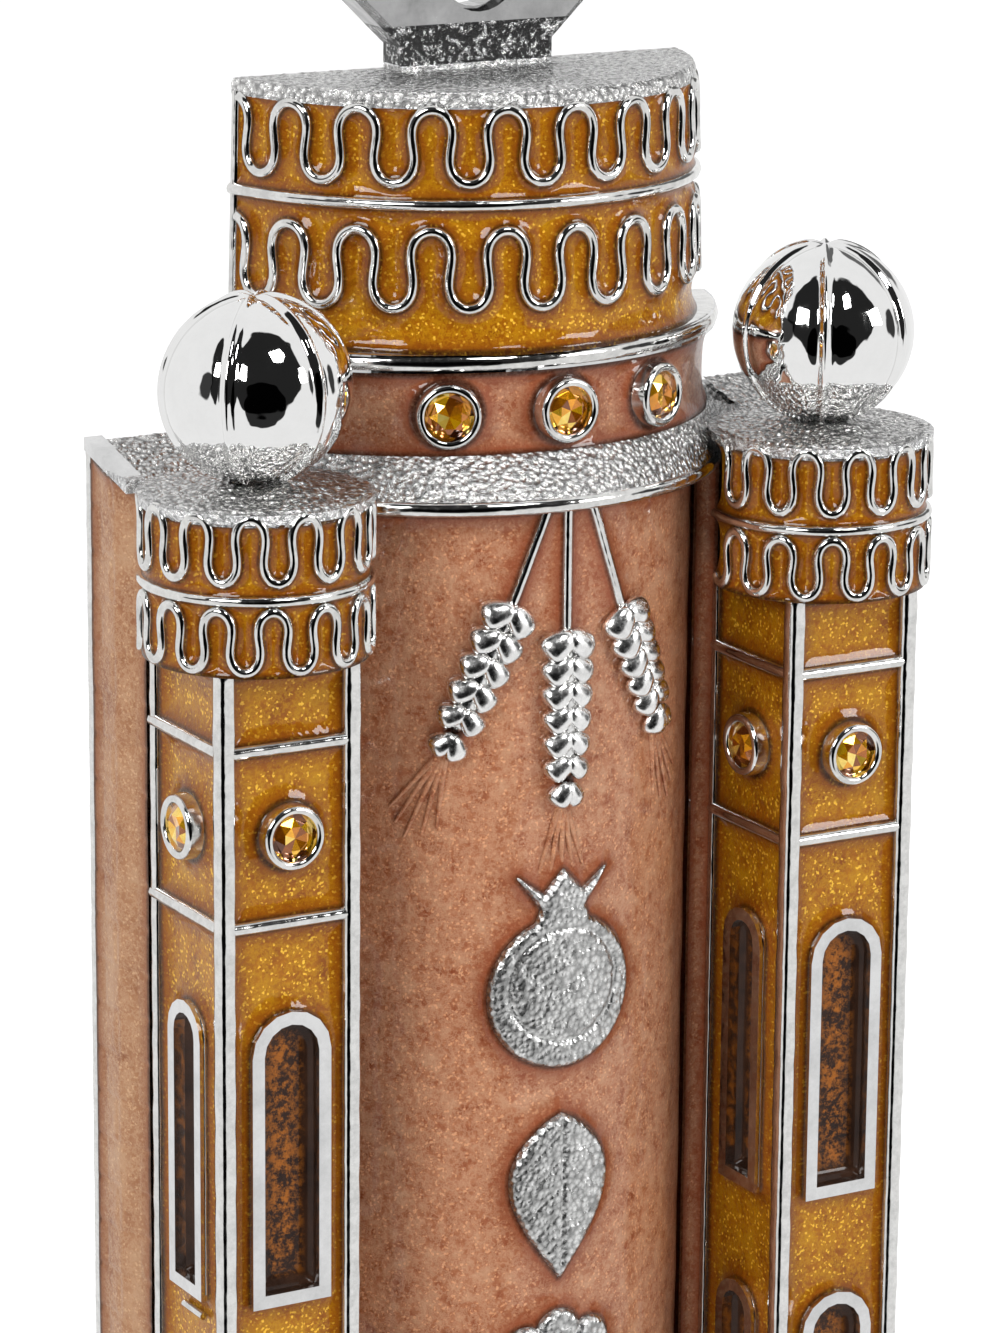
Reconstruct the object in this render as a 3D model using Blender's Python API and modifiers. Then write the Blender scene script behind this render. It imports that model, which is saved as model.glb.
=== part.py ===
"""Mezuzah case: a cast silver-coloured case shaped as a round keep between two square towers.

Metres, +Z up. The front faces -Y and the wall is the plane Y = 0. The origin is on the flat
back behind the crown, on the middle plane, 8 mm below the upper screw hole. Heights in the
design are stated from the towers' upper band, and level() turns them into Z. Depths are stated
forward of the wall.
"""
import math

import bmesh
import bpy
from mathutils import Matrix, Vector

MM = 0.001

# Driving dimensions, in millimetres.
GAP = 0.05                  # clearance between pieces that touch
ENAMEL = 0.6                # thickness of an enamel field
ORIGIN_LEVEL = 24.0         # the frame's origin, above the towers' upper band
HOLE_LEVEL = 32.0           # the upper screw hole
TOWER_X = 14.6              # tower axis from the middle plane
TOWER_HALF = 3.45           # half the width of a tower, over its ribs
TOWER_FRONT = 11.6          # towers' front faces, forward of the wall
RIB_PROUD = 0.3             # height of the ribs above the enamel
RIB_WIDE = 0.85             # width of a corner rib on each face
BAND_HALF = 0.45            # half the height of a tower's horizontal bands
BANDS = (0.0, -7.95, -67.0, -75.0)
DRUM_RADIUS = 5.23
DRUM_SWEEP = (124.0, 102.0)  # the drum fields' reach round to the outer and the inner side
RING_HALF = 0.25            # half the height of the silver rings round drums and crown
LID_TALL = 0.4              # the silver lid on a drum's enamel
DRUM_FORWARD = 8.3          # drum and ball axis, forward of the wall
DRUM_LEVELS = (3.6, 10.8)
DRUM_RING_LEVEL = 7.0
BALL_RADIUS = 4.2
COLUMN_RADIUS = 12.0
COLUMN_BEHIND = 1.8         # the keep's axis lies this far behind the wall plane
SHELF_LEVELS = (9.0, 11.3)
SHELF_RADIUS = 13.0         # of the rib along the shelf's lower edge
BAND_TOP = 15.2
LEDGE_TOP = 16.0
CROWN_TOP = 27.5
CROWN_RING_LEVEL = 22.6
CROWN_RADIUS = {"lower": 11.8, "upper": 11.6}   # the enamel, below and above its ring
CROWN_CAP_RADIUS = 11.5
CROWN_CAP_TALL = 0.5
BAND_WIDE = 13.0            # half width of the jewelled band at the wall
BAND_APEX = 9.7             # its foremost point, forward of the wall
BOX_HALF = 18.9
BOX_CHAMFER = (0.85, 1.7)   # corner between front and side, across and deep
RIM_WIDE = 0.9              # of the raised rim along the box's top, on each side
RIM_TALL = 0.6
SHOULDER_SUNK = 0.35        # the box's top below its rims
SHOULDER = 12.0             # the box's top at the wall; it falls to the drums' tops
BOX_DEEP = 4.3              # front face of the box, forward of the wall
FOOT_LEVEL = -80.0
TAB_THICK = 1.9
TAB_NECK = 3.9
TAB_HEAD = 6.2
SCREW_RADIUS = 1.8
WINDOW_LEVELS = ((-12.0, -25.7), (-30.6, -44.3), (-49.2, -62.9))
WINDOW_HALF = {"front": 1.95, "side": 1.6}
FRAME_WIDE = 0.6            # width of a window's silver frame
WIRE = 0.22                 # half the thickness of the wavy wires
CROWN_WAVES = {"upper": (24.2, 27.0), "lower": (18.5, 21.7)}
DRUM_WAVES = {"upper": (8.0, 10.3), "lower": (4.1, 6.2)}
CROWN_PITCH = 16.2          # degrees from one wave to the next
DRUM_PITCH = 27.5
STONE_RADIUS = 1.18
STONE_LEVELS = {"tower": -4.0, "keep": 13.3}
KEEP_STONE_ANGLES = (-23.0, 0.0, 23.0)
SETTING_RADIUS = 1.62       # outside of the silver cup round a stone
SETTING_TALL = 1.55
CHAMBER_HALF = 5.0
CHAMBER_DEEP = 7.0
CHAMBER_LEVELS = (-73.5, 6.5)
COVER_HALF = 7.2
COVER_THICK = 1.1
COVER_MARGIN = 1.6          # how far the cover laps over the chamber's ends
SCROLL_RADIUS = 2.6
SCROLL_LENGTH = 74.0
SCROLL_TURNS = 1.75
PARCHMENT_THICK = 0.5       # a few tight layers, drawn as one
RELIEF = 0.75               # height of the column's ornaments above its enamel

# Colours (linear), roughness and metallic value of each finish.
FINISHES = {
    "silver": ((0.86, 0.86, 0.85), 0.12, 1.0),
    "amber_enamel": ((0.45, 0.17, 0.015), 0.12, 0.0),
    "rose_enamel": ((0.42, 0.15, 0.08), 0.14, 0.0),
    "amber_stone": ((0.85, 0.38, 0.01), 0.03, 0.0),
    "parchment": ((0.78, 0.68, 0.48), 0.7, 0.0),
    "cover_metal": ((0.6, 0.6, 0.6), 0.35, 1.0),
}


def level(height):
    """Z, in millimetres, of a height stated from the towers' upper band."""
    return height - ORIGIN_LEVEL


def clear_scene():
    for thing in list(bpy.data.objects):
        bpy.data.objects.remove(thing, do_unlink=True)


def new_collection(name):
    group = bpy.data.collections.new(name)
    bpy.context.scene.collection.children.link(group)
    return group


def finish(name):
    """The material of a finish, made once."""
    found = bpy.data.materials.get(name)
    if found:
        return found
    colour, roughness, metallic = FINISHES[name]
    made = bpy.data.materials.new(name)
    made.use_nodes = True
    shader = made.node_tree.nodes["Principled BSDF"]
    shader.inputs["Base Color"].default_value = (*colour, 1.0)
    shader.inputs["Roughness"].default_value = roughness
    shader.inputs["Metallic"].default_value = metallic
    made.diffuse_color = (*colour, 1.0)
    return made


def place(mesh, name, group, look=None):
    """A new object for this mesh, in a collection and with a finish."""
    mesh.name = name
    made = bpy.data.objects.new(name, mesh)
    group.objects.link(made)
    if look:
        mesh.materials.append(finish(look))
    return made


def mesh_from(shape, size=MM):
    """A mesh datablock from a bmesh drawn in millimetres, at real size."""
    bmesh.ops.scale(shape, vec=(size, size, size), verts=shape.verts)
    bmesh.ops.recalc_face_normals(shape, faces=shape.faces)
    mesh = bpy.data.meshes.new("shape")
    shape.to_mesh(mesh)
    shape.free()
    return mesh


def box(low, high):
    """A block between two corners."""
    shape = bmesh.new()
    bmesh.ops.create_cube(shape, size=1.0)
    low = Vector(low)
    high = Vector(high)
    bmesh.ops.scale(shape, vec=high - low, verts=shape.verts)
    bmesh.ops.translate(shape, vec=(low + high) / 2, verts=shape.verts)
    return mesh_from(shape)


def cylinder(radius, length, centre, axis="Z", sides=32, top_radius=None):
    """A round bar, or a cone with top_radius, about a point on its axis."""
    shape = bmesh.new()
    top_radius = radius if top_radius is None else top_radius
    bmesh.ops.create_cone(
        shape, cap_ends=True, segments=sides, radius1=radius, radius2=top_radius, depth=length
    )
    if axis == "Y":
        turn = Matrix.Rotation(math.pi / 2, 3, "X")
        bmesh.ops.rotate(shape, cent=(0, 0, 0), matrix=turn, verts=shape.verts)
    bmesh.ops.translate(shape, vec=centre, verts=shape.verts)
    return mesh_from(shape)


def prism(outlines, low, high, along="Z"):
    """Flat outlines, as one filled 2D curve, extruded between two levels along Z, X or Y.

    Along Y, outlines are (X, Z) and the levels are forward of the wall. Along X they are (-Y, Z).
    An outline inside another is a hole.
    """
    if not isinstance(outlines[0], list):
        outlines = [outlines]
    curve = bpy.data.curves.new("outline", "CURVE")
    curve.dimensions = "2D"
    curve.fill_mode = "BOTH"
    curve.extrude = (high - low) / 2 * MM
    for outline in outlines:
        spline = curve.splines.new("POLY")
        spline.points.add(len(outline) - 1)
        for point, (across, up) in zip(spline.points, outline):
            point.co = (across * MM, up * MM, 0.0, 1.0)
        spline.use_cyclic_u = True
    drawn = bpy.data.objects.new("outline", curve)
    bpy.context.scene.collection.objects.link(drawn)
    graph = bpy.context.evaluated_depsgraph_get()
    mesh = bpy.data.meshes.new_from_object(drawn.evaluated_get(graph))
    bpy.data.objects.remove(drawn, do_unlink=True)
    shape = bmesh.new()
    shape.from_mesh(mesh)
    bmesh.ops.remove_doubles(shape, verts=shape.verts, dist=0.000001)
    if along != "Z":
        turn = Matrix.Rotation(math.pi / 2, 3, "X")
        bmesh.ops.rotate(shape, cent=(0, 0, 0), matrix=turn, verts=shape.verts)
    if along == "X":
        turn = Matrix.Rotation(-math.pi / 2, 3, "Z")
        bmesh.ops.rotate(shape, cent=(0, 0, 0), matrix=turn, verts=shape.verts)
    middle = (low + high) / 2 * MM
    shift = {"X": (middle, 0, 0), "Y": (0, -middle, 0), "Z": (0, 0, middle)}[along]
    bmesh.ops.translate(shape, vec=shift, verts=shape.verts)
    return mesh_from(shape, 1.0)


def soften_front(mesh, front, offset):
    """Rounds the edges of a plate's front face."""
    shape = bmesh.new()
    shape.from_mesh(mesh)
    edges = [edge for edge in shape.edges
             if all(abs(vert.co.y + front * MM) < 0.00001 for vert in edge.verts)
             and edge.calc_face_angle(0) > 0.5]
    bmesh.ops.bevel(shape, geom=edges, offset=offset * MM, segments=2, profile=0.5,
                    affect="EDGES")
    shape.to_mesh(mesh)
    shape.free()


def loft(lower, upper, low, high):
    """A solid between two plans with equal numbers of points, at two levels."""
    shape = bmesh.new()
    rings = []
    for plan, height in ((lower, low), (upper, high)):
        rings.append([shape.verts.new((x, y, height)) for x, y in plan])
    shape.faces.new(rings[0][::-1])
    shape.faces.new(rings[1])
    for index, corner in enumerate(rings[0]):
        after = (index + 1) % len(rings[0])
        shape.faces.new((corner, rings[0][after], rings[1][after], rings[1][index]))
    return mesh_from(shape)


def join(target, mesh, operation, helpers):
    """A Boolean on target with a helper mesh kept in the cutters' collection."""
    tool = place(mesh, target.name + "_tool", helpers)
    tool.hide_render = True
    tool.display_type = "WIRE"
    step = target.modifiers.new(operation.lower(), "BOOLEAN")
    step.operation = operation
    step.solver = "EXACT"
    step.object = tool
    return tool


def arc(radius, centre, start, end, steps):
    """Points on an arc about centre, by angle from straight ahead (-Y), in degrees."""
    points = []
    for index in range(steps + 1):
        angle = math.radians(start + (end - start) * index / steps)
        across = centre[0] + radius * math.sin(angle)
        points.append((across, centre[1] - radius * math.cos(angle)))
    return points


def reach(radius, behind):
    """The angle at which an arc about the keep's axis meets a plane behind it."""
    return math.degrees(math.acos(behind / radius))


def bow(radius, behind, wall=0.0, steps=26):
    """A D-shaped plan: an arc about (0, behind) closed by a flat back at Y = wall."""
    turn = reach(radius, behind - wall)
    return arc(radius, (0.0, behind), -turn, turn, steps)


def bow_shell(outer, inner, behind, wall=0.0, steps=26):
    """The plan of a curved sheet between two arcs about (0, behind)."""
    front = bow(outer, behind, wall, steps)
    back = bow(inner, behind, wall, steps)
    return front + back[::-1]


def band_arc():
    """Radius and axis of the wider jewelled band, from its half width and its apex."""
    radius = (BAND_WIDE**2 + BAND_APEX**2) / (2 * BAND_APEX)
    return radius, radius - BAND_APEX


def tower_square(half, front, rear, side):
    """The plan of a tower: its rear and front faces by their depth, forward of the wall."""
    centre = side * TOWER_X
    outer = centre + side * half
    inner = centre - side * half
    return [(outer, -rear), (outer, -front), (inner, -front), (inner, -rear)]


def tab_outline(direction, root):
    """The plan of a screw tab seen from the front, pointing up (1) or down (-1)."""
    centre = level(HOLE_LEVEL) if direction > 0 else lower_hole()
    flank = centre - direction * 1.2
    neck = centre - direction * 3.4
    points = [(-TAB_NECK, root), (-TAB_NECK, neck), (-TAB_HEAD, flank)]
    for index in range(1, 12):
        angle = math.pi * index / 12
        height = direction * TAB_HEAD * 0.86 * math.sin(angle)
        points.append((-TAB_HEAD * math.cos(angle), centre + height))
    points += [(TAB_HEAD, flank), (TAB_NECK, neck), (TAB_NECK, root)]
    return points


def lower_hole():
    """Z of the lower screw hole, as far below the foot as the upper one is above the crown."""
    return level(FOOT_LEVEL - (HOLE_LEVEL - CROWN_TOP))


def case_body(group, helpers):
    """The casting: box, tower cores, keep core, shelf, ledge, crown cap, foot and two tabs.

    Its parts run past the wall plane, and one cut makes the whole back flat.
    """
    foot = level(FOOT_LEVEL)
    base = foot + 1.0
    inner = BOX_HALF - ENAMEL - GAP
    front = -BOX_DEEP
    across, deep = BOX_CHAMFER
    plan = [(-inner, 2.0), (-inner, front + deep), (-inner + across, front),
            (inner - across, front), (inner, front + deep), (inner, 2.0)]
    sheath = prism(plan, base, level(DRUM_LEVELS[1]) - 0.6)
    body = place(sheath, "case_body", group, "silver")
    add_keep_cores(body, helpers)
    for side in (-1, 1):
        add_tower_core(body, side, helpers)
    add_rims(body, helpers)
    add_foot(body, helpers)
    add_tabs(body, helpers)
    flat = box((-60, 0, foot - 60), (60, 10, level(HOLE_LEVEL) + 60))
    join(body, flat, "DIFFERENCE", helpers)
    cut_chamber(body, helpers)
    return body


def tower_core_half():
    """Half the width of the metal post inside a tower's enamel."""
    return TOWER_HALF - RIB_PROUD - ENAMEL - 2 * GAP


def add_tower_core(body, side, helpers):
    """A tower's post and drum core, and the frames of its windows."""
    half = tower_core_half()
    front = TOWER_FRONT - (TOWER_HALF - half)
    top = level(DRUM_LEVELS[1])
    post = prism(tower_square(half, front, 1.0, side), level(FOOT_LEVEL) + 0.7, top - 1.0)
    join(body, post, "UNION", helpers)
    axis = (side * TOWER_X, -DRUM_FORWARD)
    low = level(DRUM_LEVELS[0])
    tall = DRUM_LEVELS[1] - DRUM_LEVELS[0] - 0.2
    core = cylinder(DRUM_RADIUS - ENAMEL - 0.3, tall, (*axis, low + tall / 2))
    join(body, core, "UNION", helpers)
    lid = cylinder(DRUM_RADIUS, LID_TALL, (*axis, top - LID_TALL / 2), sides=36)
    join(body, lid, "UNION", helpers)
    centre = side * TOWER_X
    rings = window_rings(centre, WINDOW_HALF["front"])
    reach_out = TOWER_FRONT + 0.05
    join(body, prism(rings, front - 0.3, reach_out, "Y"), "UNION", helpers)
    rings = window_rings((TOWER_FRONT + BOX_DEEP) / 2, WINDOW_HALF["side"])
    ends = (centre - TOWER_HALF - 0.05, centre + TOWER_HALF + 0.05)
    join(body, prism(rings, *ends, "X"), "UNION", helpers)


def window_outline(middle, half, low, high):
    """A window with a round head, between two levels."""
    points = [(middle - half, low)]
    for index in range(9):
        angle = math.pi * (1 - index / 8)
        points.append((middle + half * math.cos(angle), high - half + half * math.sin(angle)))
    return points + [(middle + half, low)]


def window_rings(middle, half):
    """Outer and inner outlines of a column of window frames."""
    rings = []
    for top, sill in WINDOW_LEVELS:
        rings.append(window_outline(middle, half, level(sill), level(top)))
        inner = half - FRAME_WIDE
        low = level(sill) + FRAME_WIDE
        rings.append(window_outline(middle, inner, low, level(top) - FRAME_WIDE))
    return rings


def window_fields(middle, half):
    """Outlines of the openings that the window frames stand in."""
    wide = half + GAP
    return [window_outline(middle, wide, level(sill) - GAP, level(top) + GAP)
            for top, sill in WINDOW_LEVELS]


def shoulder_level(depth):
    """Z of the rims' tops: highest at the wall, level with the drums' tops at the front."""
    fall = level(DRUM_LEVELS[1]) + 0.05
    return fall + (level(SHOULDER) - fall) * (1 - depth / BOX_DEEP)


def add_rims(body, helpers):
    """The box's sloping shoulders, with a raised rim along each outer edge."""
    top = level(DRUM_LEVELS[1])
    front = BOX_DEEP - 0.1
    across, deep = BOX_CHAMFER
    inner = BAND_WIDE + 0.2
    outer = BOX_HALF - RIM_WIDE + 0.2
    plan = [(inner, 1.9), (inner, -front), (outer - across, -front), (outer, deep - front),
            (outer, 1.9)]
    rear = shoulder_level(0)
    near = shoulder_level(BOX_DEEP)
    rim = [(-2.0, rear - RIM_TALL), (0.0, rear - RIM_TALL), (BOX_DEEP, near - RIM_TALL),
           (BOX_DEEP, near), (0.0, rear), (-2.0, rear)]
    for side in (-1, 1):
        shoulder = prism([(side * x, y) for x, y in plan], top - 2.5, top)
        slope_top(shoulder, lambda depth: shoulder_level(depth) - SHOULDER_SUNK)
        join(body, shoulder, "UNION", helpers)
        ends = sorted((side * (BOX_HALF - RIM_WIDE), side * BOX_HALF))
        join(body, prism(rim, *ends, "X"), "UNION", helpers)


def add_keep_cores(body, helpers):
    """Column core, shelf, jewelled band core, ledge, crown core and crown cap."""
    radius, behind = band_arc()
    near = COLUMN_BEHIND
    stack = (
        (COLUMN_RADIUS - ENAMEL - GAP, near, FOOT_LEVEL + 0.5, SHELF_LEVELS[0] + 0.5),
        (SHELF_RADIUS, near, SHELF_LEVELS[0], SHELF_LEVELS[0] + 0.6),
        (radius - ENAMEL - 2 * GAP, behind, SHELF_LEVELS[1] - 0.5, BAND_TOP + 0.3),
        (radius + 0.35, behind, BAND_TOP, LEDGE_TOP),
        (CROWN_RADIUS["upper"] - ENAMEL - GAP, near, LEDGE_TOP - 0.4, CROWN_TOP - 0.2),
        (CROWN_CAP_RADIUS, near, CROWN_TOP - CROWN_CAP_TALL, CROWN_TOP),
    )
    for size, axis, low, high in stack:
        plan = bow(size, axis, 1.5)
        join(body, prism(plan, level(low), level(high)), "UNION", helpers)
    lower = bow(SHELF_RADIUS - 0.25, near, 1.4)
    upper = bow(radius + GAP, behind, 1.4)
    slope = loft(lower, upper, level(SHELF_LEVELS[0] + 0.5), level(SHELF_LEVELS[1]))
    join(body, slope, "UNION", helpers)


def add_foot(body, helpers):
    """The foot plate under the keep, the towers and the box."""
    foot = level(FOOT_LEVEL)
    top = level(BANDS[3]) - GAP
    round_foot = prism(bow(COLUMN_RADIUS + 0.5, COLUMN_BEHIND, 1.3), foot + 0.1, top + 0.1)
    join(body, round_foot, "UNION", helpers)
    slab = box((-BOX_HALF, -BOX_DEEP - 0.2, foot), (BOX_HALF, 1.7, top))
    join(body, slab, "UNION", helpers)
    for side in (-1, 1):
        plan = tower_square(TOWER_HALF + 0.35, TOWER_FRONT + 0.35, 0.9, side)
        join(body, prism(plan, foot + 0.05, top - 0.05), "UNION", helpers)


def add_tabs(body, helpers):
    """The upper and lower screw tabs with their countersunk holes."""
    plates = ((1, level(CROWN_TOP) - 1.3), (-1, level(FOOT_LEVEL) + 1.3))
    for direction, root in plates:
        plate = prism(tab_outline(direction, root), -1.1, TAB_THICK, "Y")
        soften_front(plate, TAB_THICK, 0.3)
        join(body, plate, "UNION", helpers)
    for height in (level(HOLE_LEVEL), lower_hole()):
        middle = (0, -TAB_THICK / 2, height)
        hole = cylinder(SCREW_RADIUS, TAB_THICK * 4, middle, "Y", sides=28)
        join(body, hole, "DIFFERENCE", helpers)
        mouth = (0, -TAB_THICK + 0.1, height)
        wide = SCREW_RADIUS + 0.75
        sink = cylinder(wide, 0.9, mouth, "Y", sides=28, top_radius=SCREW_RADIUS - 0.15)
        join(body, sink, "DIFFERENCE", helpers)


def cut_chamber(body, helpers):
    """The scroll's chamber, open at the back, and the rebate that takes the cover."""
    low, high = (level(height) for height in CHAMBER_LEVELS)
    corners = ((-CHAMBER_HALF, -CHAMBER_DEEP, low), (CHAMBER_HALF, 1.0, high))
    join(body, box(*corners), "DIFFERENCE", helpers)
    seat = COVER_THICK + GAP
    low_seat = (-COVER_HALF - GAP * 2, -seat, low - COVER_MARGIN - GAP * 2)
    high_seat = (COVER_HALF + GAP * 2, 1.0, high + COVER_MARGIN + GAP * 2)
    join(body, box(low_seat, high_seat), "DIFFERENCE", helpers)


def back_cover(group, helpers):
    """The plate that closes the chamber, with a thumb notch at its lower end."""
    low, high = (level(height) for height in CHAMBER_LEVELS)
    corners = ((-COVER_HALF, -COVER_THICK, low - COVER_MARGIN),
               (COVER_HALF, 0.0, high + COVER_MARGIN))
    plate = place(box(*corners), "back_cover", group, "cover_metal")
    notch = cylinder(2.2, 1.2, (0, 0.3, low - COVER_MARGIN), "Y", sides=24)
    join(plate, notch, "DIFFERENCE", helpers)
    return plate


def scroll(group):
    """The rolled parchment, standing in the chamber: a coil with an open core."""
    steps = 44
    tightening = 1.15
    outer = []
    inner = []
    for index in range(steps + 1):
        share = index / steps
        angle = share * SCROLL_TURNS * 2 * math.pi
        radius = SCROLL_RADIUS - tightening * share
        across, deep = math.cos(angle), math.sin(angle)
        outer.append((radius * across, radius * deep))
        inner.append(((radius - PARCHMENT_THICK) * across, (radius - PARCHMENT_THICK) * deep))
    low = level(CHAMBER_LEVELS[0]) + 0.3
    mesh = prism(outer + inner[::-1], low, low + SCROLL_LENGTH)
    roll = place(mesh, "parchment_scroll", group, "parchment")
    roll.location = (0, -(CHAMBER_DEEP + COVER_THICK) / 2 * MM, 0)
    return roll


def ball(side, group, helpers):
    """A polished ball finial with six ridges of longitude and a dimple at the pole."""
    name = "ball_left" if side < 0 else "ball_right"
    shape = bmesh.new()
    bmesh.ops.create_uvsphere(shape, u_segments=24, v_segments=12, radius=BALL_RADIUS)
    for vert in shape.verts:
        ridge = max(0.0, math.cos(6 * math.atan2(vert.co.x, -vert.co.y) + math.pi)) ** 6
        flat = math.hypot(vert.co.x, vert.co.y) / BALL_RADIUS
        vert.co *= 1 + 0.018 * (ridge - 1) * flat
    middle = level(DRUM_LEVELS[1]) + GAP + BALL_RADIUS * 0.985 + 0.25
    finial = place(mesh_from(shape), name, group, "silver")
    finial.location = (side * TOWER_X * MM, -DRUM_FORWARD * MM, middle * MM)
    low = -BALL_RADIUS * 0.985 - 0.25
    neck = cylinder(1.9, 0.9, (0, 0, low + 0.45), sides=24, top_radius=1.5)
    tool = join(finial, neck, "UNION", helpers)
    tool.location = finial.location
    finial.data.shade_smooth()
    return finial


def keep_fields(group):
    """Enamel of the column, the jewelled band and the crown, and the crown's silver ring."""
    column = bow_shell(COLUMN_RADIUS, COLUMN_RADIUS - ENAMEL, COLUMN_BEHIND, -BOX_DEEP - GAP)
    low = level(BANDS[3]) + GAP
    high = level(SHELF_LEVELS[0]) - GAP
    place(prism(column, low, high), "column_enamel", group, "rose_enamel")
    radius, behind = band_arc()
    shell = bow_shell(radius, radius - ENAMEL, behind)
    low = level(SHELF_LEVELS[1]) + GAP
    field = place(prism(shell, low, level(BAND_TOP) - GAP), "band_enamel", group, "rose_enamel")
    ring = level(CROWN_RING_LEVEL)
    edges = {
        "lower": (level(LEDGE_TOP) + GAP, ring - RING_HALF - GAP),
        "upper": (ring + RING_HALF + GAP, level(CROWN_TOP) - CROWN_CAP_TALL - GAP),
    }
    core = CROWN_RADIUS["upper"] - ENAMEL
    for row, (low, high) in edges.items():
        shell = bow_shell(CROWN_RADIUS[row], core, COLUMN_BEHIND)
        place(prism(shell, low, high), "crown_enamel_" + row, group, "amber_enamel")
    rim = bow_shell(CROWN_RADIUS["lower"] + 0.2, core, COLUMN_BEHIND)
    place(prism(rim, ring - RING_HALF, ring + RING_HALF), "crown_ring", group, "silver")
    return field


def cut_seats(field, helpers):
    """Round openings in the jewelled band for the stones' settings."""
    for angle in KEEP_STONE_ANGLES:
        outward, point = keep_stone_place(angle)
        hole = cylinder(SETTING_RADIUS + GAP, 4.0, (0, 0, 0), sides=32)
        tool = join(field, hole, "DIFFERENCE", helpers)
        aim(tool, outward, point)


def aim(thing, outward, point):
    """Puts an object's own +Z along outward, at a point given in millimetres."""
    turn = Vector(outward).to_track_quat("Z", "Y")
    thing.rotation_mode = "QUATERNION"
    thing.rotation_quaternion = turn
    thing.location = Vector(point) * MM


def keep_stone_place(angle):
    """Outward direction and seat of a stone on the jewelled band."""
    radius, behind = band_arc()
    turn = math.radians(angle)
    outward = (math.sin(turn), -math.cos(turn), 0.0)
    seat = radius - ENAMEL - GAP
    height = level(STONE_LEVELS["keep"])
    return outward, (seat * outward[0], behind + seat * outward[1], height)


def tower_stone_places(side):
    """Outward direction and seat of the stones on a tower's three faces."""
    core = TOWER_HALF - RIB_PROUD - ENAMEL - GAP
    height = level(STONE_LEVELS["tower"])
    middle = (TOWER_FRONT + BOX_DEEP) / 2
    ahead = TOWER_FRONT - TOWER_HALF + core
    centre = side * TOWER_X
    return {
        "front": ((0, -1, 0), (centre, -ahead, height)),
        "outer": ((side, 0, 0), (centre + side * core, -middle, height)),
        "inner": ((-side, 0, 0), (centre - side * core, -middle, height)),
    }


def turned(profile, name, group, look, steps):
    """A turned solid: a closed or axis-to-axis profile of (radius, height) swept by Screw."""
    shape = bmesh.new()
    verts = [shape.verts.new((radius * MM, 0, height * MM)) for radius, height in profile]
    for first, second in zip(verts, verts[1:]):
        shape.edges.new((first, second))
    mesh = bpy.data.meshes.new(name)
    shape.to_mesh(mesh)
    shape.free()
    made = place(mesh, name, group, look)
    sweep = made.modifiers.new("sweep", "SCREW")
    sweep.steps = steps
    sweep.render_steps = steps
    sweep.use_merge_vertices = True
    sweep.merge_threshold = 0.00001
    return made


def setting(name, group, outward, point):
    """A silver cup that holds one stone."""
    inner = STONE_RADIUS + GAP
    profile = [(0, 0.25), (inner, 0.5), (inner, SETTING_TALL), (SETTING_RADIUS - 0.2, SETTING_TALL),
               (SETTING_RADIUS, SETTING_TALL - 0.25), (SETTING_RADIUS, GAP), (0, GAP)]
    made = turned(profile, "setting_" + name, group, "silver", 20)
    aim(made, outward, point)
    return made


def stone(name, group, outward, point):
    """A cut stone, from its blunt pavilion up through girdle and crown to the table."""
    profile = [(0, 1.55), (STONE_RADIUS * 0.6, 1.55), (STONE_RADIUS, 1.2), (STONE_RADIUS, 1.0),
               (STONE_RADIUS * 0.4, 0.4), (0, 0.4)]
    made = turned(profile, "stone_" + name, group, "amber_stone", 10)
    aim(made, outward, point)
    return made


def tower(side, group, helpers):
    """One tower: enamel sleeve, cage of ribs, drum fields, and stones on three faces."""
    hand = "left" if side < 0 else "right"
    low = level(BANDS[3]) + GAP
    high = level(DRUM_LEVELS[0]) - GAP
    rear = BOX_DEEP + GAP
    skin = TOWER_HALF - RIB_PROUD - GAP
    core = skin - ENAMEL
    outer = tower_square(skin, TOWER_FRONT - TOWER_HALF + skin, rear, side)
    inner = tower_square(core, TOWER_FRONT - TOWER_HALF + core, rear, side)
    plan = outer + inner[::-1]
    sleeve = place(prism(plan, low, high), "tower_enamel_" + hand, group, "amber_enamel")
    cut_windows(sleeve, side, helpers)
    edge = skin + GAP
    outer = tower_square(TOWER_HALF, TOWER_FRONT, rear, side)
    inner = tower_square(edge, TOWER_FRONT - TOWER_HALF + edge, rear, side)
    plan = outer + inner[::-1]
    cage = place(prism(plan, low, high), "tower_ribs_" + hand, group, "silver")
    cut_panels(cage, side, helpers)
    for face, (outward, point) in tower_stone_places(side).items():
        hole = cylinder(SETTING_RADIUS + GAP, 1.6, (0, 0, 0), sides=24)
        tool = join(sleeve, hole, "DIFFERENCE", helpers)
        aim(tool, outward, point)
        name = "tower_" + hand + "_" + face
        setting(name, group, outward, point)
        stone(name, group, outward, point)
    drum_fields(side, hand, group)


def cut_windows(sleeve, side, helpers):
    """Openings in a tower's enamel for the window frames of its three faces."""
    centre = side * TOWER_X
    front = window_fields(centre, WINDOW_HALF["front"])
    near = TOWER_FRONT - 2 * TOWER_HALF + 1.0
    join(sleeve, prism(front, near, TOWER_FRONT + 1.0, "Y"), "DIFFERENCE", helpers)
    sides = window_fields((TOWER_FRONT + BOX_DEEP) / 2, WINDOW_HALF["side"])
    ends = (centre - TOWER_HALF - 1.0, centre + TOWER_HALF + 1.0)
    join(sleeve, prism(sides, *ends, "X"), "DIFFERENCE", helpers)


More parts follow.
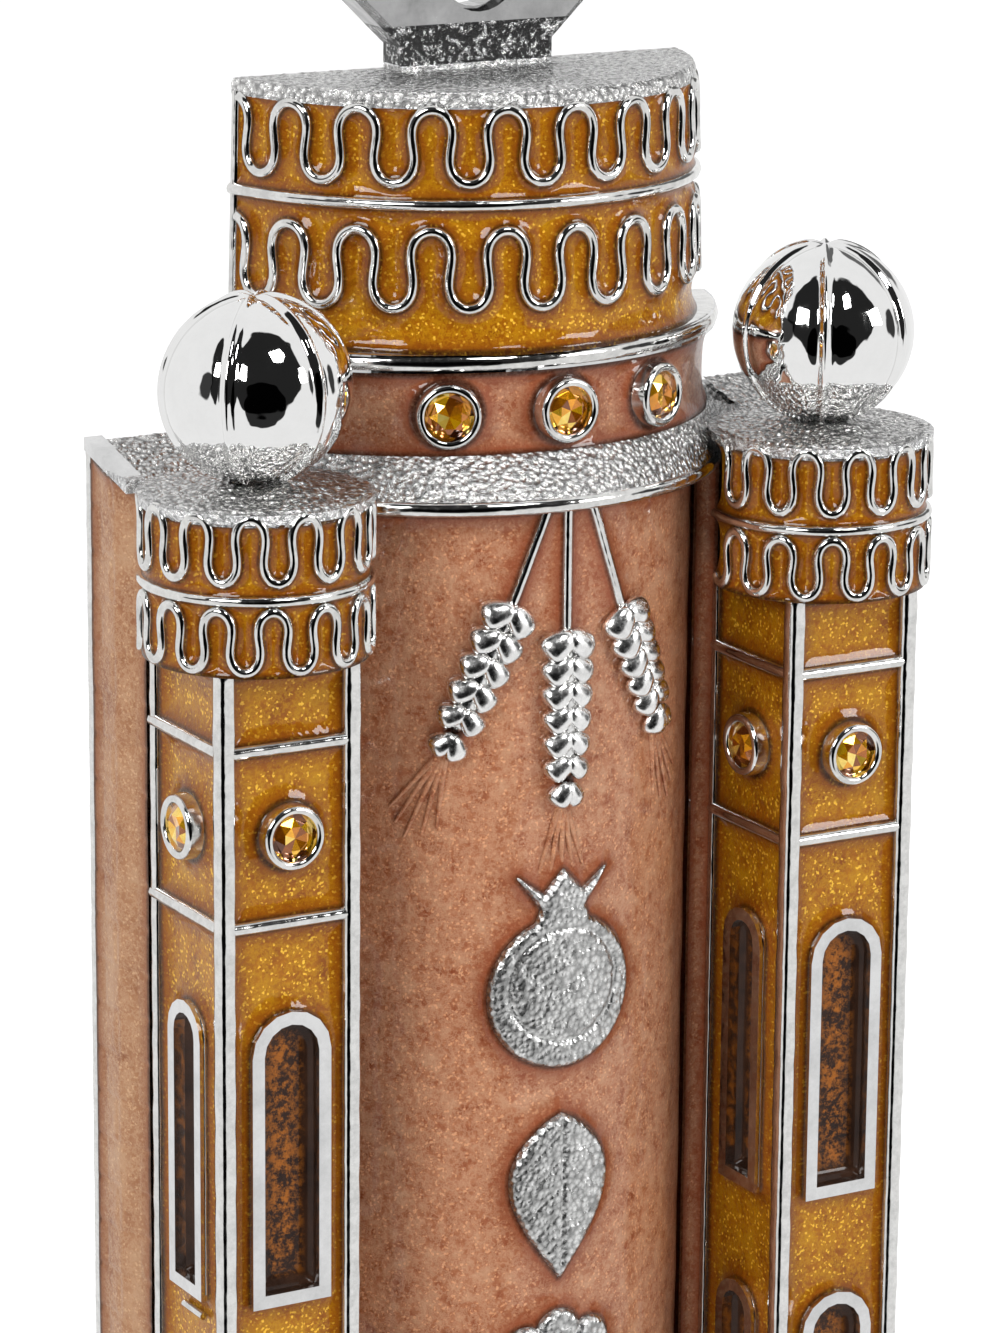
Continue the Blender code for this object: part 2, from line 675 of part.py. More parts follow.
def cut_panels(cage, side, helpers):
    """Cuts the panels between the ribs and bands out of a tower's cage."""
    limits = [DRUM_LEVELS[0], *BANDS]
    half = TOWER_HALF - RIB_WIDE
    centre = side * TOWER_X
    front = []
    sides = []
    for upper, lower in zip(limits, limits[1:]):
        top = level(upper) - BAND_HALF
        bottom = level(lower) + BAND_HALF
        front.append(block_outline(centre - half, centre + half, bottom, top))
        near = BOX_DEEP + RIB_WIDE
        far = TOWER_FRONT - RIB_WIDE
        sides.append(block_outline(near, far, bottom, top))
    near = TOWER_FRONT - 2.0
    join(cage, prism(front, near, TOWER_FRONT + 1.0, "Y"), "DIFFERENCE", helpers)
    ends = (centre - TOWER_HALF - 1.0, centre + TOWER_HALF + 1.0)
    join(cage, prism(sides, *ends, "X"), "DIFFERENCE", helpers)


def block_outline(left, right, low, high):
    """A rectangle."""
    return [(left, low), (right, low), (right, high), (left, high)]


def drum_fields(side, hand, group):
    """The drum's enamel, above and below its silver ring, and its wavy wires."""
    centre = (side * TOWER_X, -DRUM_FORWARD)
    outer, inner = DRUM_SWEEP
    sweep = (-inner, outer) if side > 0 else (-outer, inner)
    skin = DRUM_RADIUS - 2 * WIRE
    core = DRUM_RADIUS - ENAMEL - 0.3 + GAP
    shell = arc(skin, centre, *sweep, 24) + arc(core, centre, *sweep[::-1], 24)
    ring = level(DRUM_RING_LEVEL)
    fields = {
        "drum_enamel_lower_": (level(DRUM_LEVELS[0]) + GAP, ring - RING_HALF - GAP),
        "drum_enamel_upper_": (ring + RING_HALF + GAP, level(DRUM_LEVELS[1]) - LID_TALL - GAP),
    }
    for name, (low, high) in fields.items():
        place(prism(shell, low, high), name + hand, group, "amber_enamel")
    rim = arc(DRUM_RADIUS, centre, *sweep, 24) + arc(core, centre, *sweep[::-1], 24)
    place(prism(rim, ring - RING_HALF, ring + RING_HALF), "drum_ring_" + hand, group, "silver")
    reach_round = (sweep[0] + 4.0, sweep[1] - 4.0)
    for row, levels in DRUM_WAVES.items():
        shift = 0.0 if row == "upper" else DRUM_PITCH / 2
        name = "drum_wires_" + row + "_" + hand
        wave = (DRUM_PITCH, shift)
        wavy_wire(name, (DRUM_RADIUS - WIRE + GAP, centre), reach_round, wave, levels, group)


def wavy_wire(name, drum, sweep, wave, levels, group):
    """A wavy wire laid around a drum, of triangular section with its edge outward."""
    radius, centre = drum
    pitch, shift = wave
    low, high = levels
    steps = round((sweep[1] - sweep[0]) / pitch * 8)
    shape = bmesh.new()
    rings = []
    for index in range(steps + 1):
        turn = sweep[0] + (sweep[1] - sweep[0]) * index / steps
        phase = 2 * math.pi * (turn + shift) / pitch
        height = level(low + (high - low) * (0.5 - 0.5 * math.cos(phase)))
        angle = math.radians(turn)
        outward = Vector((math.sin(angle), -math.cos(angle), 0))
        along = Vector((math.cos(angle), math.sin(angle), 0))
        spot = Vector((*centre, height)) + outward * radius
        up = (Vector((0, 0, 1)) - along * math.sin(phase)).normalized()
        corners = (spot - up * WIRE - outward * WIRE, spot + up * WIRE - outward * WIRE,
                   spot + outward * WIRE)
        rings.append([shape.verts.new(corner) for corner in corners])
    for first, second in zip(rings, rings[1:]):
        for index in range(3):
            after = (index + 1) % 3
            shape.faces.new((first[index], first[after], second[after], second[index]))
    shape.faces.new(rings[0][::-1])
    shape.faces.new(rings[-1])
    return place(mesh_from(shape), name, group, "silver")


def crown_wires(group):
    """The crown's two rows of wavy wire."""
    wave = (CROWN_PITCH, CROWN_PITCH / 2)
    for row, levels in CROWN_WAVES.items():
        reach_round = reach(CROWN_RADIUS[row], COLUMN_BEHIND) - 2.5
        drum = (CROWN_RADIUS[row] + WIRE + GAP, (0.0, COLUMN_BEHIND))
        name = "crown_wires_" + row
        wavy_wire(name, drum, (-reach_round, reach_round), wave, levels, group)


def slope_top(mesh, rise):
    """Moves the upper corners of an upright plate to the height that rise gives for their depth."""
    middle = sum(vert.co.z for vert in mesh.vertices) / len(mesh.vertices)
    for vert in mesh.vertices:
        if vert.co.z > middle:
            vert.co.z = rise(-vert.co.y / MM) * MM


def side_field(side, group):
    """The enamel plate on one side of the box, bent round its front corner, up to the rim."""
    hand = "left" if side < 0 else "right"
    across, deep = BOX_CHAMFER
    outer = BOX_HALF
    inner = BOX_HALF - ENAMEL
    plan = [(outer, -0.6), (outer, -BOX_DEEP + deep), (outer - across, -BOX_DEEP - GAP),
            (inner - across, -BOX_DEEP - GAP), (inner, -BOX_DEEP + deep), (inner, -0.6)]
    plan = [(side * x, y) for x, y in plan]
    low = level(BANDS[3]) + 2 * GAP
    mesh = prism(plan, low, level(DRUM_LEVELS[1]))
    slope_top(mesh, lambda depth: shoulder_level(depth) - RIM_TALL - 2 * GAP)
    place(mesh, "side_enamel_" + hand, group, "rose_enamel")


def on_column(mesh, angle, height, group, name, look):
    """Places a mesh drawn about its own origin on the column's face."""
    made = place(mesh, name, group, look)
    turn = math.radians(angle)
    reach_out = COLUMN_RADIUS + GAP
    made.rotation_euler = (0, 0, turn)
    spot = (reach_out * math.sin(turn), COLUMN_BEHIND - reach_out * math.cos(turn), level(height))
    made.location = Vector(spot) * MM
    return made


def wheat(name, angle, height, lean, stem, group, helpers):
    """A wheat ear with its stem, hung head down from the shelf."""
    shape = bmesh.new()
    bmesh.ops.create_uvsphere(shape, u_segments=12, v_segments=8, radius=1.0)
    bmesh.ops.scale(shape, vec=(1.15, 0.45, 3.9), verts=shape.verts)
    bmesh.ops.translate(shape, vec=(0, -0.55, 0), verts=shape.verts)
    ear = on_column(mesh_from(shape), angle, height, group, name, "silver")
    ear.rotation_euler.rotate_axis("Y", math.radians(lean))
    stalk = box((-0.16, -0.55, 3.3), (0.16, -0.2, 3.3 + stem))
    tool = join(ear, stalk, "UNION", helpers)
    tool.location = ear.location
    tool.rotation_euler = ear.rotation_euler
    return ear


def pomegranate_outline(size):
    """A round fruit with a three-pointed calyx on top."""
    points = []
    for index in range(25):
        angle = math.radians(120 + 300 * index / 24)
        points.append((size * math.cos(angle), size * math.sin(angle)))
    tips = ((0.62, 1.5), (0.25, 1.15), (0.0, 1.55), (-0.25, 1.15), (-0.62, 1.5))
    crown = [(size * across, size * up) for across, up in tips]
    return points + crown


def leaf_outline(size):
    """A pointed leaf, wider at its foot."""
    points = []
    for index in range(13):
        share = index / 12
        wide = size * 0.62 * math.sin(math.pi * share**0.75)
        points.append((wide, size * (1 - 2 * share)))
    return points + [(-across, up) for across, up in points[-2:0:-1]]


def star_outline(size, tips=8):
    """A rosette of rounded petals."""
    points = []
    for index in range(tips * 6):
        angle = 2 * math.pi * index / (tips * 6)
        radius = size * (0.82 + 0.18 * math.cos(tips * angle))
        points.append((radius * math.sin(angle), radius * math.cos(angle)))
    return points


ORNAMENTS = {
    "ornament_pomegranate": (pomegranate_outline, 3.6, -13.6),
    "ornament_leaf": (leaf_outline, 4.0, -23.6),
    "ornament_rosette": (star_outline, 3.4, -32.6),
}


def ornament(name, group, helpers):
    """A flat relief that follows the column's curve: an outline cut from a curved sheet."""
    outline, size, height = ORNAMENTS[name]
    points = [(across, up + level(height)) for across, up in outline(size)]
    made = place(prism(points, 6.0, 14.0, "Y"), name, group, "silver")
    plan = bow_shell(COLUMN_RADIUS + RELIEF, COLUMN_RADIUS + GAP, COLUMN_BEHIND, -5.0, 48)
    sheet = prism(plan, level(height) - 9.0, level(height) + 9.0)
    join(made, sheet, "INTERSECT", helpers)
    return made


def smooth_round(group):
    """Smooth shading on the turned and curved pieces, with their edges kept sharp."""
    for thing in group.objects:
        if thing.name.startswith(("stone", "back_cover", "tower_ribs")):
            continue
        thing.data.shade_smooth()
        thing.data.set_sharp_from_angle(angle=math.radians(32))


def build():
    clear_scene()
    group = new_collection("mezuzah_case")
    helpers = new_collection("cutters")
    case_body(group, helpers)
    back_cover(group, helpers)
    scroll(group)
    field = keep_fields(group)
    cut_seats(field, helpers)
    names = ("keep_left", "keep_middle", "keep_right")
    for name, angle in zip(names, KEEP_STONE_ANGLES):
        setting(name, group, *keep_stone_place(angle))
        stone(name, group, *keep_stone_place(angle))
    crown_wires(group)
    for side in (-1, 1):
        ball(side, group, helpers)
        tower(side, group, helpers)
        side_field(side, group)
    wheat("wheat_left", -19.0, 1.2, 12.0, 3.2, group, helpers)
    wheat("wheat_middle", 0.0, -0.8, 0.0, 5.2, group, helpers)
    wheat("wheat_right", 19.0, 1.2, -12.0, 3.2, group, helpers)
    for name in ORNAMENTS:
        ornament(name, group, helpers)
    smooth_round(group)


build()
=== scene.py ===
"""Looks of the mezuzah case: rounded silver wires, enamel fields, stones, balls and ornaments.

Lengths are in millimetres until they reach a mesh. Places come from the frame's nodes.
"""
from math import acos, asin, atan2, ceil, cos, exp, pi, radians, sin, sqrt

import bmesh
import bpy
import numpy as np
from mathutils import Matrix, Vector


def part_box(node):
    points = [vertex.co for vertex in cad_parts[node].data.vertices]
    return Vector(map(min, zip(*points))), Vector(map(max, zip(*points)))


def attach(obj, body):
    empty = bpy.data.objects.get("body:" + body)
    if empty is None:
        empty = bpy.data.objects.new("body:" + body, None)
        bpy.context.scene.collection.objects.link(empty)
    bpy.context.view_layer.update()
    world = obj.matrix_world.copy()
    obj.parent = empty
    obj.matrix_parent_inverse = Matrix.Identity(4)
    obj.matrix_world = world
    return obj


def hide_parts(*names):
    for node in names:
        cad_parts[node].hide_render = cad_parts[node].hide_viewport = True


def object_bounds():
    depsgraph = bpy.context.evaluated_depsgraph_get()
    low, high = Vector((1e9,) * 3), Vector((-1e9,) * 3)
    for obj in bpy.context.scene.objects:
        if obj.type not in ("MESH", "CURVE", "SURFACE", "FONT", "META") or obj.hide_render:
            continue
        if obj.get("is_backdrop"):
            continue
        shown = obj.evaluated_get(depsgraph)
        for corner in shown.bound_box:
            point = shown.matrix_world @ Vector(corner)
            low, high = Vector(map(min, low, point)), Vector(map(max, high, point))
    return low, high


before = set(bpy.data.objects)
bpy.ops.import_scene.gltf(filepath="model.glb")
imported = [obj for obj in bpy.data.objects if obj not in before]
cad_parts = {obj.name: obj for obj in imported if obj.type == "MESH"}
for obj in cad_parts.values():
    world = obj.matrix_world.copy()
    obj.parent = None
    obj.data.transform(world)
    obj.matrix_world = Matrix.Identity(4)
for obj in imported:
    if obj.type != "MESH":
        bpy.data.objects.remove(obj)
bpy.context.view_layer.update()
MM = 0.001

# Dark cards round the studio: azimuth and elevation, reach, soft edge (degrees) and how dark.
CARDS = ((-20, 30, 52, 2, 0.02), (-20, -10, 26, 2, 0.03), (-84, 8, 13, 3, 0.05), (68, 6, 12, 3, 0.05),
         (120, 30, 16, 5, 0.15))
WIRE = 0.24                 # radius of the wavy wires
RIB = 0.42                  # half width of the towers' ribs
RIM_TALL = 0.6              # the silver rim above the side plates
MENISCUS = 0.34             # how far the enamel's rise reaches from an edge
CROWN_PITCH = 16.2          # degrees round the keep for one wave of wire
DRUM_PITCH = 27.5           # the same round a drum
STEEPEST = 1.72             # steepest heading of a wave, in radians
STONE_ROOM = 1.35           # radius of the enamel's edge round a stone
WINDOW_TOP = 12.0           # a tower's first window, from its upper band down
WINDOW_SILL = 25.7
WINDOW_PITCH = 18.6         # from one window to the next
COLUMN_RADIUS = 12.0
SHELF_RADIUS = 13.0         # the shelf's rib, about an axis SHELF_BEHIND behind the wall
SHELF_BEHIND = 1.8
BALL_SQUASH = 0.985         # a ball's height over its width
EAR_TOP = 8.95              # drop from the shelf's rib to the level that the ears' places count from


# ---- frame readings


def box(node):
    """Lowest and highest corner of a CAD node, in millimetres."""
    low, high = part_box(node)
    return np.array(low) / MM, np.array(high) / MM


def bow_of(node):
    """Radius and axis depth of a node with a round front and the wall as its chord."""
    low, high = box(node)
    half = (high[0] - low[0]) / 2
    deep = -low[1]
    radius = (half**2 + deep**2) / (2 * deep)
    return radius, radius - deep


def centre_of(node):
    low, high = box(node)
    return (low + high) / 2


# ---- node materials


def grey(value):
    return (value, value, value)


def rgba(colour):
    return (*colour[:3], 1.0)


class Graph:
    """A node tree under construction."""

    def __init__(self, owner):
        owner.use_nodes = True
        self.tree = owner.node_tree

    def node(self, kind, links=None, **settings):
        """A node with settings, its inputs linked or set by name or number."""
        made = self.tree.nodes.new("ShaderNode" + kind)
        for key, value in settings.items():
            setattr(made, key, value)
        for key, value in (links or {}).items():
            self.feed(made.inputs[key], value)
        return made

    def feed(self, socket, value):
        if isinstance(value, bpy.types.NodeSocket):
            self.tree.links.new(value, socket)
        else:
            socket.default_value = rgba(value) if socket.type == "RGBA" else value

    def number(self, operation, first, second):
        return self.node("Math", {0: first, 1: second}, operation=operation).outputs[0]


class Paint(Graph):
    """A material under construction."""

    def __init__(self, name):
        self.material = bpy.data.materials.new(name)
        super().__init__(self.material)
        self.place = self.node("TexCoord").outputs["Object"]

    def done(self, **values):
        """Sets shader inputs by name, with _ for a space, and returns the material."""
        for key, value in values.items():
            self.feed(self.tree.nodes["Principled BSDF"].inputs[key.replace("_", " ")], value)
        return self.material

    def noise(self, size, detail=3.0, rough=0.6, where=None):
        """Noise whose features are about size millimetres."""
        links = {"Vector": where or self.place, "Scale": 1 / (size * MM), "Detail": detail,
                 "Roughness": rough}
        return self.node("TexNoise", links).outputs["Fac"]

    def cells(self, size, output="Color"):
        links = {"Vector": self.place, "Scale": 1 / (size * MM)}
        return self.node("TexVoronoi", links).outputs[output]

    def ramp(self, value, *stops):
        """A colour ramp from (position, colour) stops."""
        made = self.node("ValToRGB", {"Fac": value})
        marks = made.color_ramp.elements
        while len(marks) < len(stops):
            marks.new(0.5)
        for mark, (spot, colour) in zip(marks, stops):
            mark.position = spot
            mark.color = rgba(colour)
        return made.outputs["Color"]

    def mix(self, share, first, second, blend="MIX"):
        links = {0: share, 6: first, 7: second}
        return self.node("Mix", links, data_type="RGBA", blend_type=blend).outputs[2]

    def bump(self, height, strength, depth, below=None):
        links = {"Height": height, "Strength": strength, "Distance": depth * MM}
        if below is not None:
            links["Normal"] = below
        return self.node("Bump", links).outputs["Normal"]

    def attribute(self, name):
        return self.node("Attribute", attribute_name=name).outputs["Fac"]


def zone(paint, low, high):
    """1 between two levels and 0 outside them."""
    z = paint.node("SeparateXYZ", {"Vector": paint.place}).outputs[2]
    above = paint.number("GREATER_THAN", z, low * MM)
    return paint.number("MULTIPLY", above, paint.number("LESS_THAN", z, high * MM))


def case_paint():
    """The casting: plated metal, darker in colour on its screw tabs and pebbled on its necks and lids."""
    paint = Paint("case_silver")
    crown_top = box("crown_enamel_upper")[1][2]
    drum_top = box("drum_enamel_upper_left")[1][2]
    foot = box("column_enamel")[0][2] - 5.5
    tabs = paint.number("ADD", zone(paint, crown_top + 2.6, 99.0), zone(paint, -199.0, foot))
    neck = zone(paint, crown_top + 0.8, crown_top + 2.6)
    lids = paint.number("ADD", zone(paint, drum_top - 0.1, drum_top + 0.6),
                        zone(paint, crown_top - 0.1, crown_top + 0.8))
    clouds = paint.noise(3.0, 5.0, 0.7)
    grain = paint.noise(0.25, 4.0, 0.7)
    body = paint.ramp(clouds, (0.35, grey(0.62)), (0.6, grey(0.76)))
    # A darker base colour on the screw tabs.
    body = paint.mix(tabs, body, paint.ramp(clouds, (0.3, grey(0.3)), (0.7, grey(0.46))))
    body = paint.mix(neck, body, paint.ramp(grain, (0.5, grey(0.04)), (0.64, grey(0.75))))
    body = paint.mix(lids, body, paint.ramp(grain, (0.4, grey(0.4)), (0.6, grey(0.9))))
    rough = paint.number("ADD", neck, lids)
    normal = paint.bump(paint.noise(1.7, 2.0), 0.3, 0.25)
    normal = paint.bump(paint.mix(rough, grey(0.5), grain), 0.8, 0.25, normal)
    return paint.done(Base_Color=body, Metallic=1.0, Normal=normal,
                      Roughness=paint.ramp(grain, (0.35, grey(0.08)), (0.75, grey(0.2))))


def silver_paint(name, pebble=0.0, rough=0.07, tone=(0.77, 0.765, 0.75), cloudy=0.8):
    """Plated metal: slight ripple and haze; pebble adds a coarse cast grain."""
    paint = Paint(name)
    ripple = paint.noise(1.7, 2.0)
    fine = paint.noise(0.22, 4.0, 0.7)
    worn = paint.ramp(paint.noise(0.9, 5.0, 0.7), (0.35, tuple(cloudy * c for c in tone)), (0.6, tone))
    normal = paint.bump(ripple, 0.3, 0.25)
    if pebble:
        grain = paint.cells(0.26, "Distance")
        normal = paint.bump(grain, pebble, 0.2, normal)
        normal = paint.bump(fine, pebble, 0.1, normal)
        worn = paint.mix(paint.ramp(grain, (0.25, grey(0.0)), (0.75, grey(1.0))), worn,
                         tuple(0.4 * c for c in tone))
    haze = paint.ramp(fine, (0.35, grey(rough)), (0.75, grey(rough * 2.2 + 0.02)))
    return paint.done(Base_Color=worn, Metallic=1.0, Roughness=haze, Normal=normal)


def enamel_paint(name, deep, mid, light, fleck, glitter=0.55, metal=0.45, mottle=1.3):
    """Clear coloured glass over a hammered bright ground. Its colour deepens towards the wires, partly for
    the thicker glass there and partly as painted shade, and turns nearly black right against them as painted
    shade.
    """
    paint = Paint(name)
    clouds = paint.noise(mottle, 5.0, 0.62)
    body = paint.ramp(clouds, (0.28, deep), (0.5, mid), (0.74, light))
    edge = paint.attribute("edge")
    # rim marks the narrow band right against the wires.
    rim = paint.ramp(edge, (0.88, grey(0.0)), (1.0, grey(0.9)))
    # Deeper colour towards the wires: partly the thicker glass there, partly painted shade.
    body = paint.mix(paint.ramp(edge, (0.1, grey(0.0)), (0.95, grey(0.95))), body, deep)
    # Nearly black right against the wires: painted shade.
    body = paint.mix(rim, body, tuple(0.12 * c for c in deep))
    crackle = paint.noise(0.34, 6.0, 0.75)
    veins = paint.ramp(crackle, (0.46, grey(0.0)), (0.53, grey(0.7)), (0.6, grey(0.0)))
    inner = paint.ramp(edge, (0.3, grey(1.0)), (0.85, grey(0.15)))
    body = paint.mix(paint.mix(1.0, veins, inner, "MULTIPLY"), body, light)
    sparks = paint.node("SeparateColor", {"Color": paint.cells(0.1)}).outputs[0]
    spark = paint.ramp(sparks, (0.9, grey(0.0)), (0.94, grey(glitter)))
    spark = paint.mix(1.0, spark, inner, "MULTIPLY")
    body = paint.mix(spark, body, fleck)
    ground = paint.bump(crackle, 0.8, 0.14)
    ground = paint.bump(paint.cells(0.3, "Distance"), 0.3, 0.08, ground)
    film = paint.bump(paint.noise(2.4, 1.0), 0.2, 0.3)
    film = paint.bump(paint.noise(0.8, 2.0), 0.22, 0.08, film)
    return paint.done(Base_Color=body, Metallic=metal, Roughness=0.36, Normal=ground, Specular_IOR_Level=0.1,
                      Coat_Weight=0.55, Coat_Roughness=0.02, Coat_Normal=film, Coat_IOR=1.5)


def window_paint():
    """Dark brown enamel with a drift of copper flecks down the middle."""
    paint = Paint("window_enamel")
    drift = paint.noise(0.55, 6.0, 0.8)
    body = paint.ramp(paint.noise(1.6, 3.0), (0.3, (0.016, 0.006, 0.003)), (0.75, (0.05, 0.02, 0.009)))
    edge = paint.ramp(paint.attribute("edge"), (0.05, grey(1.0)), (0.6, grey(0.0)))
    flecks = paint.ramp(drift, (0.46, grey(0.0)), (0.58, grey(0.9)))
    flecks = paint.mix(1.0, flecks, edge, "MULTIPLY")
    body = paint.mix(flecks, body, (0.42, 0.13, 0.012))
    normal = paint.bump(drift, 0.6, 0.15)
    return paint.done(Base_Color=body, Metallic=0.35, Roughness=0.38, Normal=normal, Specular_IOR_Level=0.1,
                      Coat_Weight=0.35, Coat_Roughness=0.03)


def stone_paint():
    """Foil-backed amber glass. Each facet has a fixed brightness, from near black to pale gold: painted
    shade and painted glints that stand in for the light the cut sends back.
    """
    paint = Paint("amber_stone_facets")
    shade = paint.ramp(paint.attribute("facet"), (0.0, (0.07, 0.012, 0.0)), (0.3, (0.45, 0.12, 0.001)),
                       (0.6, (0.9, 0.36, 0.002)), (0.85, (1.0, 0.55, 0.01)), (1.0, (1.0, 0.8, 0.22)))
    cloud = paint.ramp(paint.noise(0.5, 2.0), (0.3, grey(0.75)), (0.7, grey(1.0)))
    return paint.done(Base_Color=paint.mix(1.0, shade, cloud, "MULTIPLY"), Metallic=0.7, Roughness=0.06,
                      Coat_Weight=1.0, Coat_Roughness=0.0, Coat_IOR=1.6)


def parchment_paint():
    paint = Paint("parchment_sheet")
    clouds = paint.noise(4.0, 6.0, 0.6)
    body = paint.ramp(clouds, (0.3, (0.56, 0.44, 0.27)), (0.7, (0.78, 0.69, 0.5)))
    fibre = paint.noise(0.25, 5.0, 0.7)
    return paint.done(Base_Color=body, Roughness=0.72, Normal=paint.bump(fibre, 0.4, 0.06))


def cover_paint():
    """Rolled plate with a fine lengthwise grain."""
    paint = Paint("brushed_plate")
    lanes = paint.node("Mapping", {"Vector": paint.place, "Scale": (9.0, 9.0, 0.25)}).outputs[0]
    grain = paint.noise(1.0, 5.0, 0.7, lanes)
    body = paint.ramp(grain, (0.3, grey(0.5)), (0.7, grey(0.66)))
    rough = paint.ramp(grain, (0.2, grey(0.28)), (0.8, grey(0.42)))
    return paint.done(Base_Color=body, Metallic=1.0, Roughness=rough, Normal=paint.bump(grain, 0.15, 0.04))


def floor_paint():
    paint = Paint("pale_floor")
    cloud = paint.ramp(paint.noise(60.0, 2.0), (0.3, grey(0.93)), (0.7, grey(0.96)))
    return paint.done(Base_Color=cloud, Roughness=0.6, Emission_Color=grey(1.0), Emission_Strength=0.45)


SILVER = silver_paint("plated_silver")
BRIGHT = silver_paint("polished_ball", rough=0.02, tone=(0.84, 0.84, 0.835), cloudy=0.97)
HAMMERED = silver_paint("hammered_silver", pebble=0.3, rough=0.2, tone=(0.86, 0.86, 0.85), cloudy=0.72)
SATIN = silver_paint("satin_silver", rough=0.15, tone=(0.9, 0.895, 0.885))
PEBBLED = silver_paint("pebbled_silver", pebble=0.75, rough=0.1, tone=(0.9, 0.895, 0.885))
AMBER = enamel_paint("amber_glass", (0.22, 0.052, 0.001), (0.4, 0.135, 0.001), (0.55, 0.27, 0.004),
                     (1.0, 0.6, 0.05), glitter=0.8)
ROSE = enamel_paint("rose_glass", (0.25, 0.058, 0.02), (0.42, 0.165, 0.082), (0.56, 0.31, 0.185),
                    (0.95, 0.5, 0.26), glitter=0.4, metal=0.35, mottle=0.8)
PEACH = enamel_paint("peach_glass", (0.24, 0.08, 0.028), (0.38, 0.18, 0.085), (0.5, 0.3, 0.17),
                     (1.0, 0.7, 0.4), glitter=0.2, metal=0.3, mottle=2.6)
WINDOW = window_paint()
STONE = stone_paint()


# ---- piece makers


def publish(name, data, look, replaced=()):
    """A finished piece from a mesh or curve, and the CAD nodes that it stands for."""
    made = bpy.data.objects.new(name, data)
    bpy.context.scene.collection.objects.link(made)
    data.materials.append(look)
    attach(made, "root")
    if replaced:
        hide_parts(*replaced)


def joined(x, y, z):
    """Points from arrays of their coordinates."""
    return np.stack(np.broadcast_arrays(x, y, z), axis=-1)


def bell(gap, width):
    return np.exp(-((gap / width) ** 2))


def mesh_of(points, faces):
    """A smooth mesh from millimetre points and faces."""
    mesh = bpy.data.meshes.new("piece")
    mesh.from_pydata((np.asarray(points, float) * MM).tolist(), [], faces)
    mesh.shade_smooth()
    return mesh


def grid_mesh(points, keep=None, wrap=False):
    """A mesh from a rows x columns x 3 array of points; keep masks its vertices."""
    rows, columns = points.shape[:2]
    index = np.arange(rows * columns).reshape(rows, columns)
    nxt = np.roll(index, -1, axis=1) if wrap else index[:, 1:]
    here = index if wrap else index[:, :-1]
    quads = np.stack([here[:-1], nxt[:-1], nxt[1:], here[1:]], axis=-1).reshape(-1, 4)
    if keep is not None:
        quads = quads[keep.reshape(-1)[quads].all(axis=1)]
    used, inverse = np.unique(quads, return_inverse=True)
    faces = inverse.reshape(-1, 4).tolist()
    return mesh_of(points.reshape(-1, 3)[used], faces), used


def tubes(name, paths, radius, look, replaced=(), taper=None):
    """Round wires along millimetre paths, as one curve object."""
    curve = bpy.data.curves.new(name, "CURVE")
    curve.dimensions = "3D"
    curve.bevel_depth = radius * MM
    curve.bevel_resolution = 3
    curve.use_fill_caps = True
    for path in paths:
        spline = curve.splines.new("POLY")
        spline.points.add(len(path) - 1)
        flat = np.ones((len(path), 4))
        flat[:, :3] = np.asarray(path) * MM
        spline.points.foreach_set("co", flat.ravel())
        if taper is not None:
            spline.points.foreach_set("radius", np.asarray(taper(len(path)), float))
        spline.use_smooth = True
    publish(name, curve, look, replaced)


class Round:
    """An upright round face about an axis; s runs along it, z up, h outward."""

    def __init__(self, axis, radius, lean=0.0, foot=0.0):
        self.axis = axis
        self.radius = radius
        self.lean = lean
        self.foot = foot

    def at(self, s, z, h):
        radius = self.radius - self.lean * (z - self.foot)
        angle = s / self.radius
        x = self.axis[0] + (radius + h) * np.sin(angle)
        return joined(x, self.axis[1] - (radius + h) * np.cos(angle), z)


class Flat:
    """An upright flat face; s runs along direction, z up, h outward."""

    def __init__(self, origin, direction, outward):
        self.origin = np.array(origin, float)
        self.direction = np.array(direction, float)
        self.outward = np.array(outward, float)

    def at(self, s, z, h):
        s, z, h = np.broadcast_arrays(s, z, h)
        flat = self.origin + s[..., None] * self.direction + h[..., None] * self.outward
        flat[..., 2] = z
        return flat


def distance(s, z, lines):
    """Least distance from each point to a set of (polyline, half width) pairs, never below 0."""
    points = np.stack([s.ravel(), z.ravel()], axis=1)
    best = np.full(len(points), 1e9)
    for line, half in lines:
        line = np.asarray(line, float)
        for start, end in zip(line, line[1:]):
            low = np.minimum(start, end) - 2.5
            high = np.maximum(start, end) + 2.5
            near = ((points >= low) & (points <= high)).all(axis=1)
            if not near.any():
                continue
            some = points[near]
            run = end - start
            share = np.clip(((some - start) @ run) / max(run @ run, 1e-9), 0, 1)
            gap = np.linalg.norm(some - start - share[:, None] * run, axis=1) - half
            best[near] = np.minimum(best[near], gap)
    return np.maximum(best, 0.0).reshape(s.shape)


def waviness(s, z, size=2.2):
    """A slow hand-made unevenness, between about -1 and 1."""
    u = s / size
    v = z / size
    return (np.sin(1.7 * u + 0.9 * v) + np.sin(0.8 * u - 1.9 * v + 1.3) + np.sin(2.9 * u + 2.3 * v)) / 3


def field(name, face, s_range, z_range, lines, look, replaced=(), step=0.11, low=-0.2, rise=0.26,
          reach=MENISCUS, keep=None, extra=None, uneven=0.03):
    """An enamel field on a face. It climbs towards the lines and sinks between them."""
    s_axis = np.linspace(*s_range, max(3, int((s_range[1] - s_range[0]) / step)))
    z_axis = np.linspace(*z_range, max(3, int((z_range[1] - z_range[0]) / step)))
    s, z = np.meshgrid(s_axis, z_axis)
    gap = distance(s, z, lines)
    height = low + rise * np.exp(-((gap / reach) ** 1.3)) + uneven * waviness(s, z)
    if extra is not None:
        height = height + extra(s, z)
    mask = None if keep is None else keep(s, z)
    mesh, used = grid_mesh(face.at(s, z, height), mask)
    # edge is 1 at the lines and fades away from them. enamel_paint deepens its colour by it, partly as
    # painted shade, and window_paint uses it to keep its flecks off the frames.
    edge = mesh.attributes.new("edge", "FLOAT", "POINT")
    edge.data.foreach_set("value", np.exp(-((gap / (reach * 1.9)) ** 1.4)).ravel()[used])
    publish(name, mesh, look, replaced)


